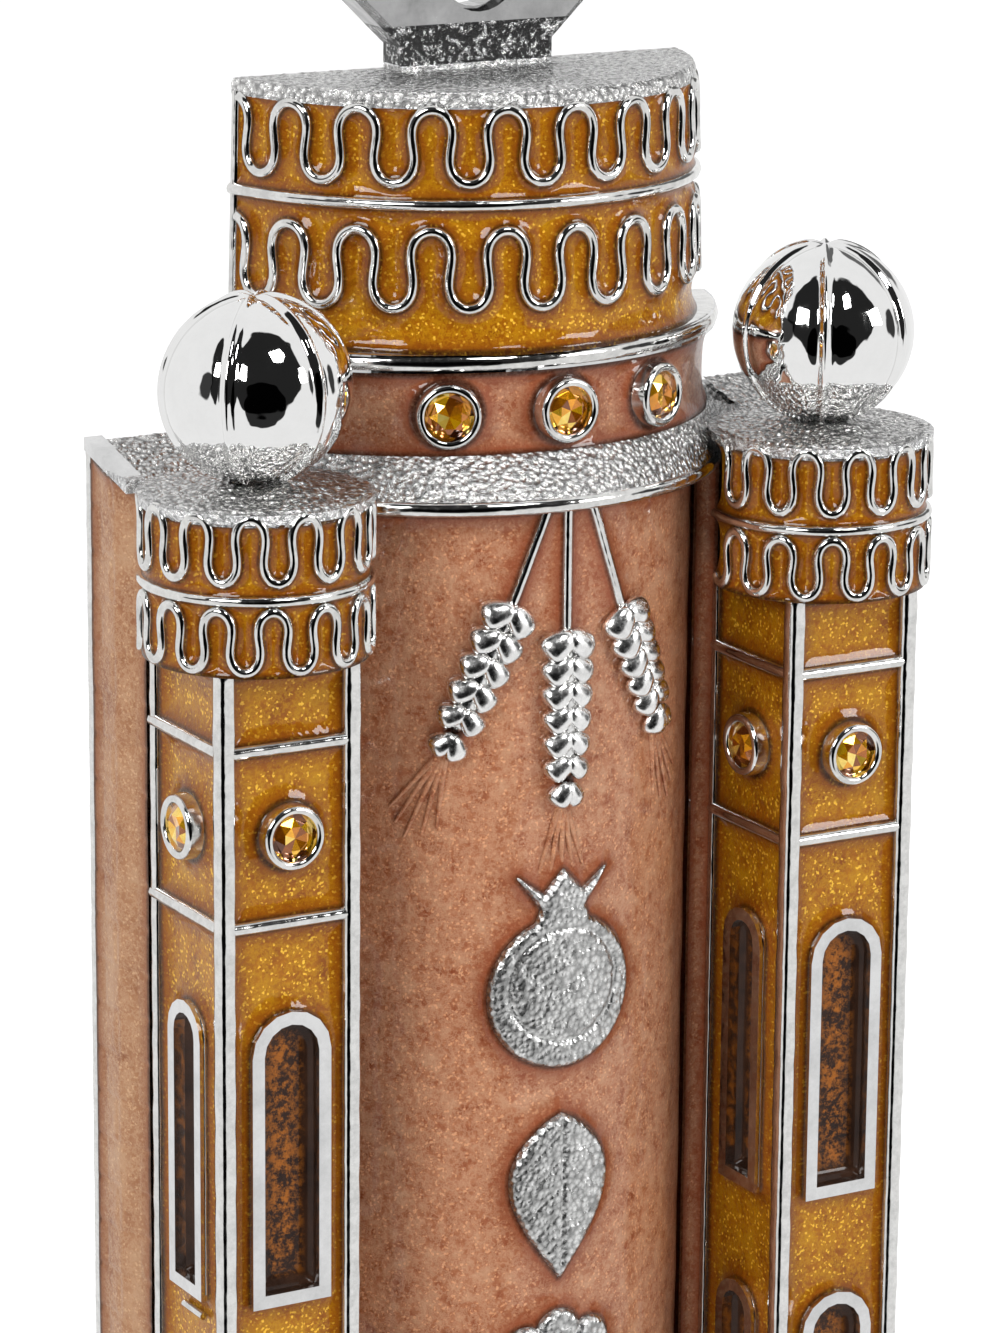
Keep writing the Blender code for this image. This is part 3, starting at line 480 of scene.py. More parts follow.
def meander(start, end, low, high, pitch, phase, steps=44):
    """A serpentine line in (s, z), like a river's even bends."""
    heading = STEEPEST * np.sin(2 * pi * (np.arange(steps) + 0.5) / steps)
    ahead = np.cumsum(np.cos(heading))
    climb = np.cumsum(np.sin(heading))
    origin = start - pitch + phase
    line = []
    for wave in range(int(ceil((end - start) / pitch)) + 3):
        for forward, up in zip(ahead / ahead[-1], climb / climb.max()):
            line.append((origin + pitch * (wave + forward), low + (high - low) * up))
    line = np.array(line)
    inside = np.nonzero((line[:, 0] >= start) & (line[:, 0] <= end))[0]
    return line[inside[0]:inside[-1] + 1]


def densify(line, step=0.25):
    """More points along a polyline, so that it bends well round a drum."""
    line = np.asarray(line, float)
    out = [line[0]]
    for start, end in zip(line, line[1:]):
        count = max(1, int(np.linalg.norm(end - start) / step))
        for index in range(1, count + 1):
            out.append(start + (end - start) * index / count)
    return np.array(out)


def on(face, line, height):
    """3D path of an (s, z) line at a height over a face."""
    line = densify(line)
    return face.at(line[:, 0], line[:, 1], np.full(len(line), float(height)))


def across(start, end, level):
    return [(start, level), (end, level)]


def upright(s, low, high):
    return [(s, low), (s, high)]


def half_round(steps):
    """Cosine and sine round a half turn, from straight down to straight up."""
    angles = [pi * (index / steps - 0.5) for index in range(steps + 1)]
    return [(cos(angle), sin(angle)) for angle in angles]


def stone_edge(s, z):
    """The round edge of the enamel about a stone, as one line for a field."""
    turns = np.linspace(0, 2 * pi, 25)
    return [(s + STONE_ROOM * cos(a), z + STONE_ROOM * sin(a)) for a in turns], 0.25


def cellular(x, y, size, seed=0):
    """Pebbles: distance to the nearest of a jittered lattice of points, 0 at a pebble's middle."""
    u = x / size
    v = y / size
    best = np.full(u.shape, 9.0)
    for du in (-1, 0, 1):
        for dv in (-1, 0, 1):
            cu = np.floor(u) + du
            cv = np.floor(v) + dv
            jitter = np.sin(cu * 127.1 + cv * 311.7 + seed) * 43758.5453
            other = np.sin(cu * 269.5 + cv * 183.3 + seed) * 43758.5453
            pu = cu + jitter - np.floor(jitter)
            pv = cv + other - np.floor(other)
            best = np.minimum(best, np.hypot(u - pu, v - pv))
    return best


def pebbles(x, y, tall=0.16):
    """Height of a cast, pebbled surface."""
    coarse = 1 - np.clip(cellular(x, y, 0.5), 0, 1) ** 2
    fine = 1 - np.clip(cellular(x, y, 0.24, 3), 0, 1) ** 2
    return tall * (0.55 * coarse + 0.45 * fine - 0.6)


# ---- crown


def crown():
    """The keep's crown: two rows of serpentine wire, a ring and the enamel about them."""
    radius, behind = bow_of("crown_ring")
    ring = centre_of("crown_ring")[2]
    foot = box("crown_enamel_lower")[0][2]
    top = box("crown_enamel_upper")[1][2]
    face = Round((0.0, behind), radius - 0.12, 0.028, foot)
    end = acos(behind / radius) * face.radius - 0.12
    ring_line = across(-end, end, ring)
    lines = [(across(-end, end, foot), 0.1), (across(-end, end, top), 0.05), (upright(-end, foot, top), 0.1),
             (upright(end, foot, top), 0.1), (ring_line, 0.25)]
    pitch = radians(CROWN_PITCH) * face.radius
    for row, drop in (("upper", 0.45), ("lower", 0.25)):
        low, high = box("crown_wires_" + row)
        line = meander(0.5 - end, end - 0.5, low[2] - drop, high[2] - 0.45, pitch, pitch * 0.45)
        lines.append((line, WIRE))
        tubes("crown_wire_" + row, [on(face, line, 0.08)], WIRE, SILVER, ["crown_wires_" + row])
    tubes("crown_ring_wire", [on(face, ring_line, 0.05)], 0.27, SILVER, ["crown_ring"])
    field("crown_enamel", face, (-end, end), (foot - 0.1, top + 0.05), lines, AMBER,
          ["crown_enamel_lower", "crown_enamel_upper"], step=0.085)
    ends = [on(face, upright(side * (end - 0.18), foot, top), -0.05) for side in (-1, 1)]
    tubes("crown_edges", ends, 0.24, SILVER)
    crown_lid(face, behind, top)


def crown_lid(face, behind, top):
    """The crown's pebbled lid with a rolled edge."""
    radius = face.radius - face.lean * (top - face.foot) + 0.1
    half = sqrt(radius**2 - behind**2)
    x = np.linspace(-half, half, 230)
    front = behind - np.sqrt(radius**2 - x**2)
    share = np.linspace(0, 1, 100)[:, None]
    y = front[None, :] * (1 - share) - 0.02 * share
    xx = x + 0 * y
    lid = top + 0.5
    edge = np.clip((y - front[None, :]) / 0.35, 0, 1)
    z = lid + 0.02 + pebbles(xx, y) * np.clip(edge * 1.5, 0.15, 1)
    z = z - 0.2 * (1 - edge) ** 2.5
    skirt = joined(x, front - 0.02, np.linspace(top - 0.15, lid - 0.22, 4)[:, None])
    publish("crown_lid", grid_mesh(np.concatenate([skirt, joined(xx, y, z)]))[0], PEBBLED)


# ---- jewelled band, ledge and shelf


def band():
    """The jewelled band between the shelf and the ledge."""
    radius, behind = bow_of("band_enamel")
    low, high = box("band_enamel")
    face = Round((0.0, behind), radius - 0.1)
    end = acos(behind / radius) * face.radius - 0.15
    lines = [(across(-end, end, low[2]), 0.1), (across(-end, end, high[2]), 0.1)]
    for place in ("left", "middle", "right"):
        spot = centre_of("setting_keep_" + place)
        s = face.radius * atan2(spot[0], behind - spot[1])
        lines.append(stone_edge(s, spot[2]))
    field("band_glass", face, (-end, end), (low[2] - 0.1, high[2] + 0.1), lines, ROSE,
          ["band_enamel"], step=0.09, low=-0.16, rise=0.3, reach=0.5)
    ledge(behind, radius, high[2])
    shelf(behind, radius, low[2])


def rolled(name, rows, look, grain=0.0):
    """A strip round the keep from rows of (radius, axis depth, z), with pebbles on its middle rows."""
    turn = np.linspace(-1, 1, 420)
    points = []
    for index, (radius, behind, z) in enumerate(rows):
        a = turn * acos(min(1.0, behind / radius))
        inside = 0 < index < len(rows) - 1
        lift = pebbles(a * radius, 0 * a + 7.0 * z, 0.2) * grain * inside
        points.append(joined(radius * np.sin(a), behind - radius * np.cos(a), z + lift))
    publish(name, grid_mesh(np.array(points))[0], look)


def ledge(behind, radius, low):
    """The rounded silver ledge under the crown."""
    rows = [(radius + 0.1 + 0.35 * c, behind, low + 0.47 + 0.42 * s) for c, s in half_round(8)]
    rows.append((radius - 1.6, behind, low + 0.9))
    rolled("ledge", rows, SILVER)


def shelf(behind, radius, high):
    """The shelf: a rolled rib below and a pebbled slope up to the band."""
    rib = box("column_enamel")[1][2] + 0.3
    rows = [(SHELF_RADIUS - 0.12 + 0.3 * c, SHELF_BEHIND, rib + 0.02 + 0.34 * s) for c, s in half_round(7)]
    rolled("shelf_rib", rows, SILVER)
    rows = []
    for share in np.linspace(0, 1, 17):
        rows.append((SHELF_RADIUS - 0.05 + (radius + 0.12 - SHELF_RADIUS) * share,
                     SHELF_BEHIND + (behind - SHELF_BEHIND) * share,
                     rib + 0.3 + (high + 0.08 - rib - 0.3) * share**0.9))
    rolled("shelf_slope", rows, PEBBLED, 1.0)


# ---- stones


def revolve(profile, steps=48):
    """A mesh of a profile of (radius, height) turned about Z."""
    turns = np.linspace(0, 2 * pi, steps, endpoint=False)
    radii, heights = np.array(profile, float).T[:, :, None]
    return grid_mesh(joined(radii * np.cos(turns), radii * np.sin(turns), heights), wrap=True)[0]


def stand(name, mesh, node, outward, look, replaced):
    """Publishes a mesh drawn about Z, on the middle of a CAD node with its axis along outward."""
    turn = Vector(outward).normalized().to_track_quat("Z", "Y").to_matrix().to_4x4()
    mesh.transform(Matrix.Translation(Vector(centre_of(node)) * MM) @ turn)
    publish(name, mesh, look, replaced)


def bezel_profile(inner, outer, low, high):
    """A rounded collar with a groove inside that grips the stone."""
    wide = (outer - inner) / 2
    middle = (outer + inner) / 2
    rows = [(outer + 0.1, low)]
    rows += [(middle - wide * s, high - wide * (1 - c)) for c, s in half_round(10)]
    rows += [(inner - 0.02, high - wide - 0.25), (inner - 0.25, high - wide - 0.4)]
    return rows


def cut_stone(girdle, tall):
    """A brilliant cut seen from above: girdle, upper girdle, kite and star facets, and table."""
    bm = bmesh.new()
    rings = ((1.0, 0.0, 16, 0.0), (0.82, 0.5, 8, 0.0), (0.52, 1.0, 8, 0.5))
    layers = []
    for share, height, count, shift in rings:
        turns = [2 * pi * (index + shift) / count for index in range(count)]
        wide = girdle * share
        layers.append([bm.verts.new((wide * cos(a), wide * sin(a), tall * height)) for a in turns])
    outer, middle, table = layers
    for index in range(8):
        left, here, right = outer[2 * index - 1], outer[2 * index], outer[2 * index + 1]
        bm.faces.new((left, here, middle[index]))
        bm.faces.new((here, right, middle[index]))
        bm.faces.new((middle[index], right, middle[(index + 1) % 8], table[index]))
        bm.faces.new((table[index - 1], middle[index], table[index]))
    centre = bm.verts.new((0, 0, tall * 0.78))
    for index in range(8):
        bm.faces.new((table[index], table[(index + 1) % 8], centre))
    bmesh.ops.scale(bm, vec=(MM, MM, MM), verts=bm.verts)
    bmesh.ops.recalc_face_normals(bm, faces=bm.faces)
    mesh = bpy.data.meshes.new("stone")
    bm.to_mesh(mesh)
    bm.free()
    return mesh


def shade_facets(mesh, seed):
    """A fixed scatter of painted light and painted shade over the facets."""
    tone = mesh.attributes.new("facet", "FLOAT", "FACE")
    count = len(mesh.polygons)
    values = [(sin(12.9898 * (index + 1) + 78.233 * seed) * 43758.5453) % 1.0 for index in range(count)]
    tone.data.foreach_set("value", values)


def stones():
    """Every stone in its rounded collar."""
    names = sorted(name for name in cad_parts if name.startswith("setting_"))
    for seed, name in enumerate(names):
        spot = name[len("setting_"):]
        if spot.startswith("keep"):
            middle = centre_of(name)
            outward = (middle[0], middle[1] - bow_of("band_enamel")[1], 0.0)
        else:
            hand, facing = spot.split("_")[1:]
            side = -1 if hand == "left" else 1
            outward = {"front": (0, -1, 0), "outer": (side, 0, 0), "inner": (-side, 0, 0)}[facing]
        collar = revolve(bezel_profile(1.06, 1.46, -0.35, 0.62))
        stand("collar_" + spot, collar, name, outward, SILVER, [name])
        gem = cut_stone(1.1, 0.42)
        shade_facets(gem, seed)
        gem.transform(Matrix.Translation((0, 0, 0.18 * MM)))
        stand("gem_" + spot, gem, name, outward, STONE, ["stone_" + spot])


# ---- balls


def ball(hand):
    """A polished ball with six raised meridians that meet in a dimple."""
    node = "ball_" + hand
    low, high = box(node)
    radius = (high[0] - low[0]) / 2
    middle = centre_of(node)
    middle[2] = high[2] - radius * BALL_SQUASH
    start = radians(-44.5 if hand == "left" else -32.0)
    lon = np.linspace(0, 2 * pi, 360, endpoint=False)
    lat = np.linspace(-pi / 2, pi / 2, 120)
    aa, bb = np.meshgrid(lon, lat)
    off = (aa - start + pi / 6) % (pi / 3) - pi / 6
    pole = radius * np.cos(bb)
    run = np.abs(off) * pole
    ridge = 0.3 * bell(run, 0.22) - 0.15 * bell(run, 0.42)
    rr = radius - 0.02 + ridge - 0.22 * bell(pole, 0.45)
    way = joined(np.cos(bb) * np.sin(aa), -np.cos(bb) * np.cos(aa), BALL_SQUASH * np.sin(bb))
    publish("polished_" + node, grid_mesh(middle + rr[..., None] * way, wrap=True)[0], BRIGHT, [node])


# ---- towers


def hand_of(side):
    return "left" if side < 0 else "right"


def tower(side):
    """One tower with its drum, panels, windows and ribs."""
    hand = hand_of(side)
    low, high = box("tower_ribs_" + hand)
    centre = (low[0] + high[0]) / 2
    half = (high[0] - low[0]) / 2
    front = low[1]
    stone = centre_of(f"setting_tower_{hand}_front")[2]
    levels = [high[2], stone + 4.0, stone - 3.95, low[2] + 8.0, low[2] + 0.1]
    faces = {
        "front": (Flat((centre, front + 0.3, 0), (1, 0, 0), (0, -1, 0)), -half, half),
        "outer": (Flat((centre + side * (half - 0.3), 0, 0), (0, 1, 0), (side, 0, 0)), front, high[1]),
        "inner": (Flat((centre - side * (half - 0.3), 0, 0), (0, 1, 0), (-side, 0, 0)), front, high[1]),
    }
    bars = []
    for facing, (face, start, end) in faces.items():
        fill_face(hand, facing, face, start, end, levels)
        bars += [on(face, across(start + 0.2, end - 0.1, level), 0.02) for level in levels[1:]]
    reach = half - RIB + 0.05

    def corner_posts(depth, top):
        return [[(x, depth, low[2]), (x, depth, top)] for x in (centre - reach, centre + reach)]

    posts = corner_posts(front + RIB - 0.05, high[2] + 0.6)
    rib_posts("tower_posts_" + hand, posts, RIB, ["tower_ribs_" + hand])
    rib_posts("tower_back_posts_" + hand, corner_posts(high[1] - 0.3, high[2]), RIB - 0.12)
    tubes("tower_bars_" + hand, bars, 0.3, SILVER)
    drum(hand, side)


def ring_faces(first, rings, sides):
    """Quads of a tube whose points are rings + 1 rings of sides points, from the one numbered first."""
    faces = []
    for base in range(first, first + rings * sides, sides):
        for index in range(sides):
            after = (index + 1) % sides
            faces.append((base + index, base + after, base + sides + after, base + sides + index))
    return faces


def rib_posts(name, posts, half, replaced=()):
    """Upright ribs of rounded square section, slightly uneven as cast."""
    points = []
    faces = []
    sides = 20
    for (x, y, low), (_, _, high) in posts:
        stations = np.linspace(low, high, max(2, int((high - low) / 0.8)))
        first = len(points)
        for z in stations:
            wobble = 1 + 0.03 * sin(1.9 * z + x) + 0.02 * sin(4.3 * z)
            for index in range(sides):
                angle = 2 * pi * index / sides
                c, s = cos(angle), sin(angle)
                size = half * wobble / (abs(c) ** 4 + abs(s) ** 4) ** 0.25
                points.append((x + size * c, y + size * s, z))
        faces += ring_faces(first, len(stations) - 1, sides)
        faces.append(tuple(range(len(points) - sides, len(points))))
    publish(name, mesh_of(points, faces), SILVER, replaced)


def window_line(middle, half, low, high):
    """Outline of a round-headed window in (s, z)."""
    arch = [(middle + half * s, high - half + half * c) for c, s in half_round(12)]
    return [(middle - half, low), *arch, (middle + half, low), (middle - half, low)]


def in_window(s, z, middle, half, low, head):
    """True in a round-headed opening. head is the level where its arch starts."""
    away = s - middle
    shaft = (np.abs(away) < half) & (z < head) & (z > low)
    return shaft | ((np.hypot(away, z - head) < half) & (z >= head))


def fill_face(hand, facing, face, start, end, levels):
    """Enamel, window frames and window panes of one face of a tower."""
    middle = (start + end) / 2
    half = (1.95 if facing == "front" else 1.6) - 0.28
    band = levels[1]
    windows = [(band - WINDOW_TOP - WINDOW_PITCH * index, band - WINDOW_SILL - WINDOW_PITCH * index)
               for index in range(3)]
    stone = centre_of(f"setting_tower_{hand}_front")[2]
    lines = [(upright(s, levels[-1], levels[0]), 0.32) for s in (start + 0.42, end - 0.42)]
    lines += [(across(start, end, level), 0.28) for level in levels]
    lines.append(stone_edge(middle, stone))
    frames = [window_line(middle, half, sill + 0.3, top - 0.3) for top, sill in windows]
    lines += [(outline, 0.28) for outline in frames]
    for top, sill in windows:
        pane(hand, facing, face, middle, half, sill, top)

    def outside(s, z):
        keep = np.hypot(s - middle, z - stone) > 1.2
        for top, sill in windows:
            keep &= ~in_window(s, z, middle, half - 0.05, sill + 0.35, top - 0.3 - half)
        return keep

    nodes = ["tower_enamel_" + hand] if facing == "front" else []
    field(f"tower_glass_{hand}_{facing}", face, (start + 0.1, end - 0.1), (levels[-1], levels[0] + 0.2),
          lines, AMBER, nodes, step=0.12, low=-0.24, rise=0.26, reach=0.42, keep=outside)
    tubes(f"window_frames_{hand}_{facing}", [on(face, outline, 0.04) for outline in frames], 0.29, SILVER)
    if facing == "outer":
        sill = windows[0][1] - 0.95
        tubes(f"sill_line_{hand}", [on(face, across(middle - 1.0, middle + 0.9, sill), -0.05)], 0.17, SILVER)


def pane(hand, facing, face, middle, half, sill, top):
    """The dark enamel floor of one window, dished against its frame."""
    lines = [(window_line(middle, half, sill + 0.3, top - 0.3), 0.2)]
    name = f"pane_{hand}_{facing}_{int(-top)}"
    field(name, face, (middle - half - 0.05, middle + half + 0.05), (sill + 0.2, top - 0.2), lines, WINDOW,
          step=0.1, low=-0.6, rise=0.5, reach=0.32, uneven=0.02,
          keep=lambda s, z: in_window(s, z, middle, half + 0.02, sill + 0.25, top - 0.3 - half))


def drum(hand, side):
    """A tower's round head: enamel between two rows of serpentine wire and a ring."""
    axis = centre_of("ball_" + hand)
    foot = box("drum_enamel_lower_" + hand)[0][2]
    top = box("drum_enamel_upper_" + hand)[1][2]
    ring = centre_of("drum_ring_" + hand)[2]
    low, high = box("drum_ring_" + hand)
    outer = (high[0] - low[0]) / 2
    face = Round((axis[0], axis[1]), outer - 0.25)
    start = -radians(118 if side < 0 else 104) * face.radius
    end = radians(104 if side < 0 else 118) * face.radius
    pitch = radians(DRUM_PITCH) * face.radius
    lines = []
    for row, shift in (("upper", -16 if side < 0 else 1), ("lower", -5 if side < 0 else -12)):
        low, high = box(f"drum_wires_{row}_{hand}")
        phase = (radians(shift) * face.radius - start) % pitch
        line = meander(start + 0.3, end - 0.3, low[2], high[2] + 0.12, pitch, phase - 0.3)
        lines.append((line, WIRE * 0.9))
        node = f"drum_wires_{row}_{hand}"
        tubes(f"drum_wire_{row}_{hand}", [on(face, line, 0.06)], WIRE * 0.95, SILVER, [node])
    ring_line = across(start, end, ring)
    lines += [(ring_line, 0.22), (across(start, end, top), 0.1), (across(start, end, foot), 0.05)]
    tubes("drum_ring_wire_" + hand, [on(face, ring_line, 0.04)], 0.24, SILVER, ["drum_ring_" + hand])
    nodes = ["drum_enamel_lower_" + hand, "drum_enamel_upper_" + hand]
    field("drum_glass_" + hand, face, (start, end), (foot - 0.05, top + 0.1), lines, AMBER, nodes, step=0.08,
          low=-0.22, rise=0.26, reach=0.3)
    drum_lid(hand, axis, outer - 0.15, top)


def drum_lid(hand, axis, radius, top):
    """The drum's pebbled lid, swelling up to the ball."""
    angles = np.linspace(0, 2 * pi, 260, endpoint=False)
    rows = [(radius - 0.02, top - 0.1), (radius, top + 0.15)]
    for index in range(6):
        turn = pi / 2 * index / 5
        rows.append((radius - 0.25 * (1 - cos(turn)), top + 0.25 + 0.2 * sin(turn)))
    points = []

    def ring(r):
        return axis[0] + r * np.sin(angles), axis[1] - r * np.cos(angles)

    for r, z in rows:
        r = r + 0.8 * pebbles(angles * radius, 0 * angles + z, 0.16) - 0.06
        points.append(joined(*ring(r), z))
    for r in np.linspace(radius - 0.3, 1.2, 40):
        swell = 0.3 * exp(-(((r - 1.2) / 1.3) ** 2))
        points.append(joined(*ring(r), top + 0.5 + swell + pebbles(*ring(r), 0.22)))
    publish("drum_lid_" + hand, grid_mesh(np.array(points), wrap=True)[0], PEBBLED)


# ---- box sides and shoulders


class Bent:
    """One side of the box: a face that turns in round the front corner."""

    def __init__(self, side, low, high):
        edge = high[0] if side > 0 else -low[0]
        self.side = side
        self.path = np.array([(edge - 0.85, low[1]), (edge - 0.02, low[1] + 1.75), (edge, low[1] + 2.2),
                              (edge, high[1])])
        runs = np.linalg.norm(np.diff(self.path, axis=0), axis=1)
        self.lengths = np.concatenate([[0], np.cumsum(runs)])

    def depth(self, s):
        return np.interp(s, self.lengths, self.path[:, 1])

    def at(self, s, z, h):
        x = np.interp(s, self.lengths, self.path[:, 0])
        return joined(self.side * (x + h), self.depth(s), z)


def side_wall(side):
    """Peach enamel over faint brickwork on one side of the box, up to the sloping rim."""
    hand = hand_of(side)
    node = "side_enamel_" + hand
    low, high = box(node)
    face = Bent(side, low, high)
    total = face.lengths[-1]
    joints = []
    course = 2.1
    for index in range(int((high[2] - low[2]) / course) + 1):
        z = high[2] - index * course
        joints.append((across(0.2, total - 0.2, z), 0.03))
        spots = (0.9, 3.3) if index % 2 else (2.1,)
        joints += [(upright(spot, z - course, z), 0.03) for spot in spots]

    def top(s):
        return rim_level(hand, face.depth(s)) - RIM_TALL

    def swell(s, z):
        gap = distance(s, z, joints)
        return -0.06 * bell(gap, 0.14) - 0.04

    rim_line = [(s, float(top(s))) for s in np.linspace(0, total, 9)]
    borders = [(rim_line, 0.1), (upright(total, low[2], high[2]), 0.05), (upright(0, low[2], high[2]), 0.05)]
    field("side_glass_" + hand, face, (0.0, total), (low[2], high[2] + 0.15), borders, PEACH, [node],
          step=0.12, low=-0.12, rise=0.14, reach=0.35, extra=swell, uneven=0.02,
          keep=lambda s, z: z < top(s) + 0.03)
    edge = side * (abs(face.path[-1][0]) - 0.3)
    rear = high[1] + 0.3
    post = [(edge, rear, low[2]), (edge, rear, rim_level(hand, rear) - RIM_TALL)]
    rib_posts("side_edge_" + hand, [post], 0.28)


def rim_level(hand, y):
    """Z of the rim's top at a depth: it falls from the wall to the drum's lid."""
    low, high = box("side_enamel_" + hand)
    near = box("drum_enamel_upper_" + hand)[1][2] + 0.5
    rear = high[2] + RIM_TALL + 0.1
    return near + (rear - near) * (y - low[1]) / (high[1] - low[1])


def shoulder(side):
    """The pebbled shoulder between the rim and the keep."""
    hand = hand_of(side)
    x = np.linspace(13.3, 18.1, 120)
    y = np.linspace(-4.3, -0.05, 106)
    xx, yy = np.meshgrid(x, y)
    zz = rim_level(hand, yy) - 0.2 + pebbles(xx, yy, 0.2)
    publish("shoulder_" + hand, grid_mesh(joined(side * xx, yy, zz))[0], PEBBLED)


# ---- column


def wheat_ear(node, top, down, pairs, step):
    """Overlapping chevron pairs of plump grains down a stem that hangs from the shelf."""
    points = []
    faces = []
    side_way = np.array([-down[1], down[0]])
    for index in range(pairs):
        taper = 1.0 - 0.035 * index
        spread = radians(36 if index == pairs - 1 else 54)
        base = top + down * (step * index + 0.15)
        for side in (-1, 1):
            along = down * cos(spread) + side * side_way * sin(spread)
            start = base - side * side_way * 0.05
            add_grain(points, faces, start, along, 1.6 * taper, 0.74 * taper, 0.42, -side)
    add_grain(points, faces, top + down * 0.4, down, step * (pairs - 1), 0.62, 0.2, 0.0)
    publish(node.replace("wheat", "ear"), mesh_of(points, faces), SATIN, [node])


def add_grain(points, faces, base, along, length, wide, lift, proud):
    """One plump grain, blunt and thick at its outer end. proud tips it about its own length."""
    rings = 14
    sides = 16
    face = column_face()
    across_way = np.array([-along[1], along[0]])
    first = len(points)
    for share in np.linspace(0, 1, rings + 1):
        blunt = sqrt(max(0.0, 1 - abs(2 * share - 1) ** 2.8))
        fat = wide * (0.12 + 0.88 * blunt) * (0.62 + 0.42 * share)
        turns = 2 * pi * np.arange(sides) / sides
        spot = base + along * length * (share - 0.04) + across_way * fat * np.cos(turns)[:, None]
        height = lift + 0.2 * (1 - share) + fat * (0.72 * np.sin(turns) + 0.3 * proud * np.cos(turns))
        points.extend(map(tuple, face.at(spot[:, 0], spot[:, 1], height)))
    faces.extend(ring_faces(first, rings, sides))
    faces.append(tuple(range(first, first + sides))[::-1])
    faces.append(tuple(range(first + rings * sides, first + rings * sides + sides)))


def column_face():
    """The column's round face."""
    return Round((0.0, COLUMN_RADIUS + box("column_enamel")[0][1]), COLUMN_RADIUS - 0.22)


# Each ear: where its stem starts, where its grains start (s, z), lean in degrees, pairs and their step.
EARS = {"wheat_left": (-0.95, (-2.6, 4.7), 24.0, 6, 1.26), "wheat_middle": (0.0, (0.0, 3.3), 0.0, 7, 1.16),
        "wheat_right": (1.25, (3.0, 4.0), -24.0, 6, 1.12)}


def pomegranate(size):
    """Outline of a round fruit with a pointed calyx."""
    turns = [radians(112 + 316 * index / 40) for index in range(41)]
    tips = ((0.3, 1.12), (0.62, 1.55), (0.28, 1.3), (0.0, 1.6), (-0.28, 1.3), (-0.62, 1.55), (-0.3, 1.12))
    fruit = [(cos(turn), sin(turn)) for turn in turns]
    return [(size * x, size * y) for x, y in (*fruit, *tips)]


def leaf(size):
    """Outline of a pointed leaf."""
    right = []
    for index in range(25):
        share = index / 24
        right.append((size * 0.62 * sin(pi * share**0.75), size * (1 - 2 * share)))
    return right + [(-x, y) for x, y in right[-2:0:-1]]


def rosette(size, petals=8):
    """Outline of a flower with round petals."""
    points = []
    for index in range(petals * 12):
        angle = 2 * pi * index / (petals * 12)
        radius = size * (0.8 + 0.2 * abs(cos(petals * angle / 2)) ** 0.7)
        points.append((radius * sin(angle), radius * cos(angle)))
    return points


ORNAMENTS = {"ornament_pomegranate": (pomegranate, 3.6), "ornament_leaf": (leaf, 4.0),
             "ornament_rosette": (rosette, 3.4)}


def ornament_outline(node):
    """Closed (s, z) outline of an ornament on the column."""
    maker, size = ORNAMENTS[node]
    low, high = box(node)
    outline = np.array(maker(size))
    outline[:, 1] += (low[2] + high[2]) / 2 - (outline[:, 1].max() + outline[:, 1].min()) / 2
    return np.concatenate([outline, outline[:1]])


def winding(s, z, outline):
    """True where a point is inside a closed outline."""
    inside = np.zeros(s.shape, bool)
    for (x0, y0), (x1, y1) in zip(outline, outline[1:]):
        if y0 == y1:
            continue
        crossing = (y0 > z) != (y1 > z)
        inside ^= crossing & (s < (x1 - x0) * (z - y0) / (y1 - y0) + x0)
    return inside


def ornament(node):
    """A flat hammered plaque with a rounded edge, cast on the column."""
    face = column_face()
    outline = ornament_outline(node)
    low = outline.min(axis=0) - 0.25
    high = outline.max(axis=0) + 0.25
    s, z = np.meshgrid(np.arange(low[0], high[0], 0.075), np.arange(low[1], high[1], 0.075))
    gap = distance(s, z, [(outline, 0.0)])
    inside = winding(s, z, outline)
    depth = np.where(inside, gap, -gap)
    roll = np.clip((depth + 0.12) / 0.4, 0, 1)
    height = -0.15 + 0.72 * np.sqrt(1 - (1 - roll) ** 2)
    height += 0.03 * waviness(s, z, 0.5) * roll + 0.02 * (pebbles(s, z, 1.0)) * roll
    height += engraving(node, s, z, outline) * roll
    mesh, _ = grid_mesh(face.at(s, z, height), depth > -0.16)
    publish("plaque_" + node.split("_")[1], mesh, HAMMERED, [node])
    return outline


def engraving(node, s, z, outline):
    """Shallow chased lines inside an ornament: seeds, veins or petals."""
    middle = (outline.min(axis=0) + outline.max(axis=0)) / 2
    if node == "ornament_leaf":
        vein = np.abs(s)
        ribs = np.abs((np.abs(s) * 0.9 + (z - middle[1])) % 1.3 - 0.65) + 0.02
        return -0.09 * bell(vein, 0.12) - 0.05 * bell(ribs, 0.09)
    if node == "ornament_rosette":
        angle = np.arctan2(s, z - middle[1])
        radius = np.hypot(s, z - middle[1])
        spokes = np.abs(((angle + pi / 8) % (pi / 4)) - pi / 8) * radius
        off = np.abs(pi / 8 * radius - spokes)
        lines = -0.08 * bell(off, 0.12) * (radius > 0.9)
        return lines - 0.1 * bell(radius - 0.95, 0.12) + 0.1 * (radius < 0.85)
    radius = np.hypot(s - middle[0], z - middle[1] + 0.7)
    seeds = 0.06 * np.clip(1 - cellular(s, z, 0.95), 0, 1) * (radius < 2.5)
    return seeds - 0.08 * bell(radius - 2.7, 0.12)


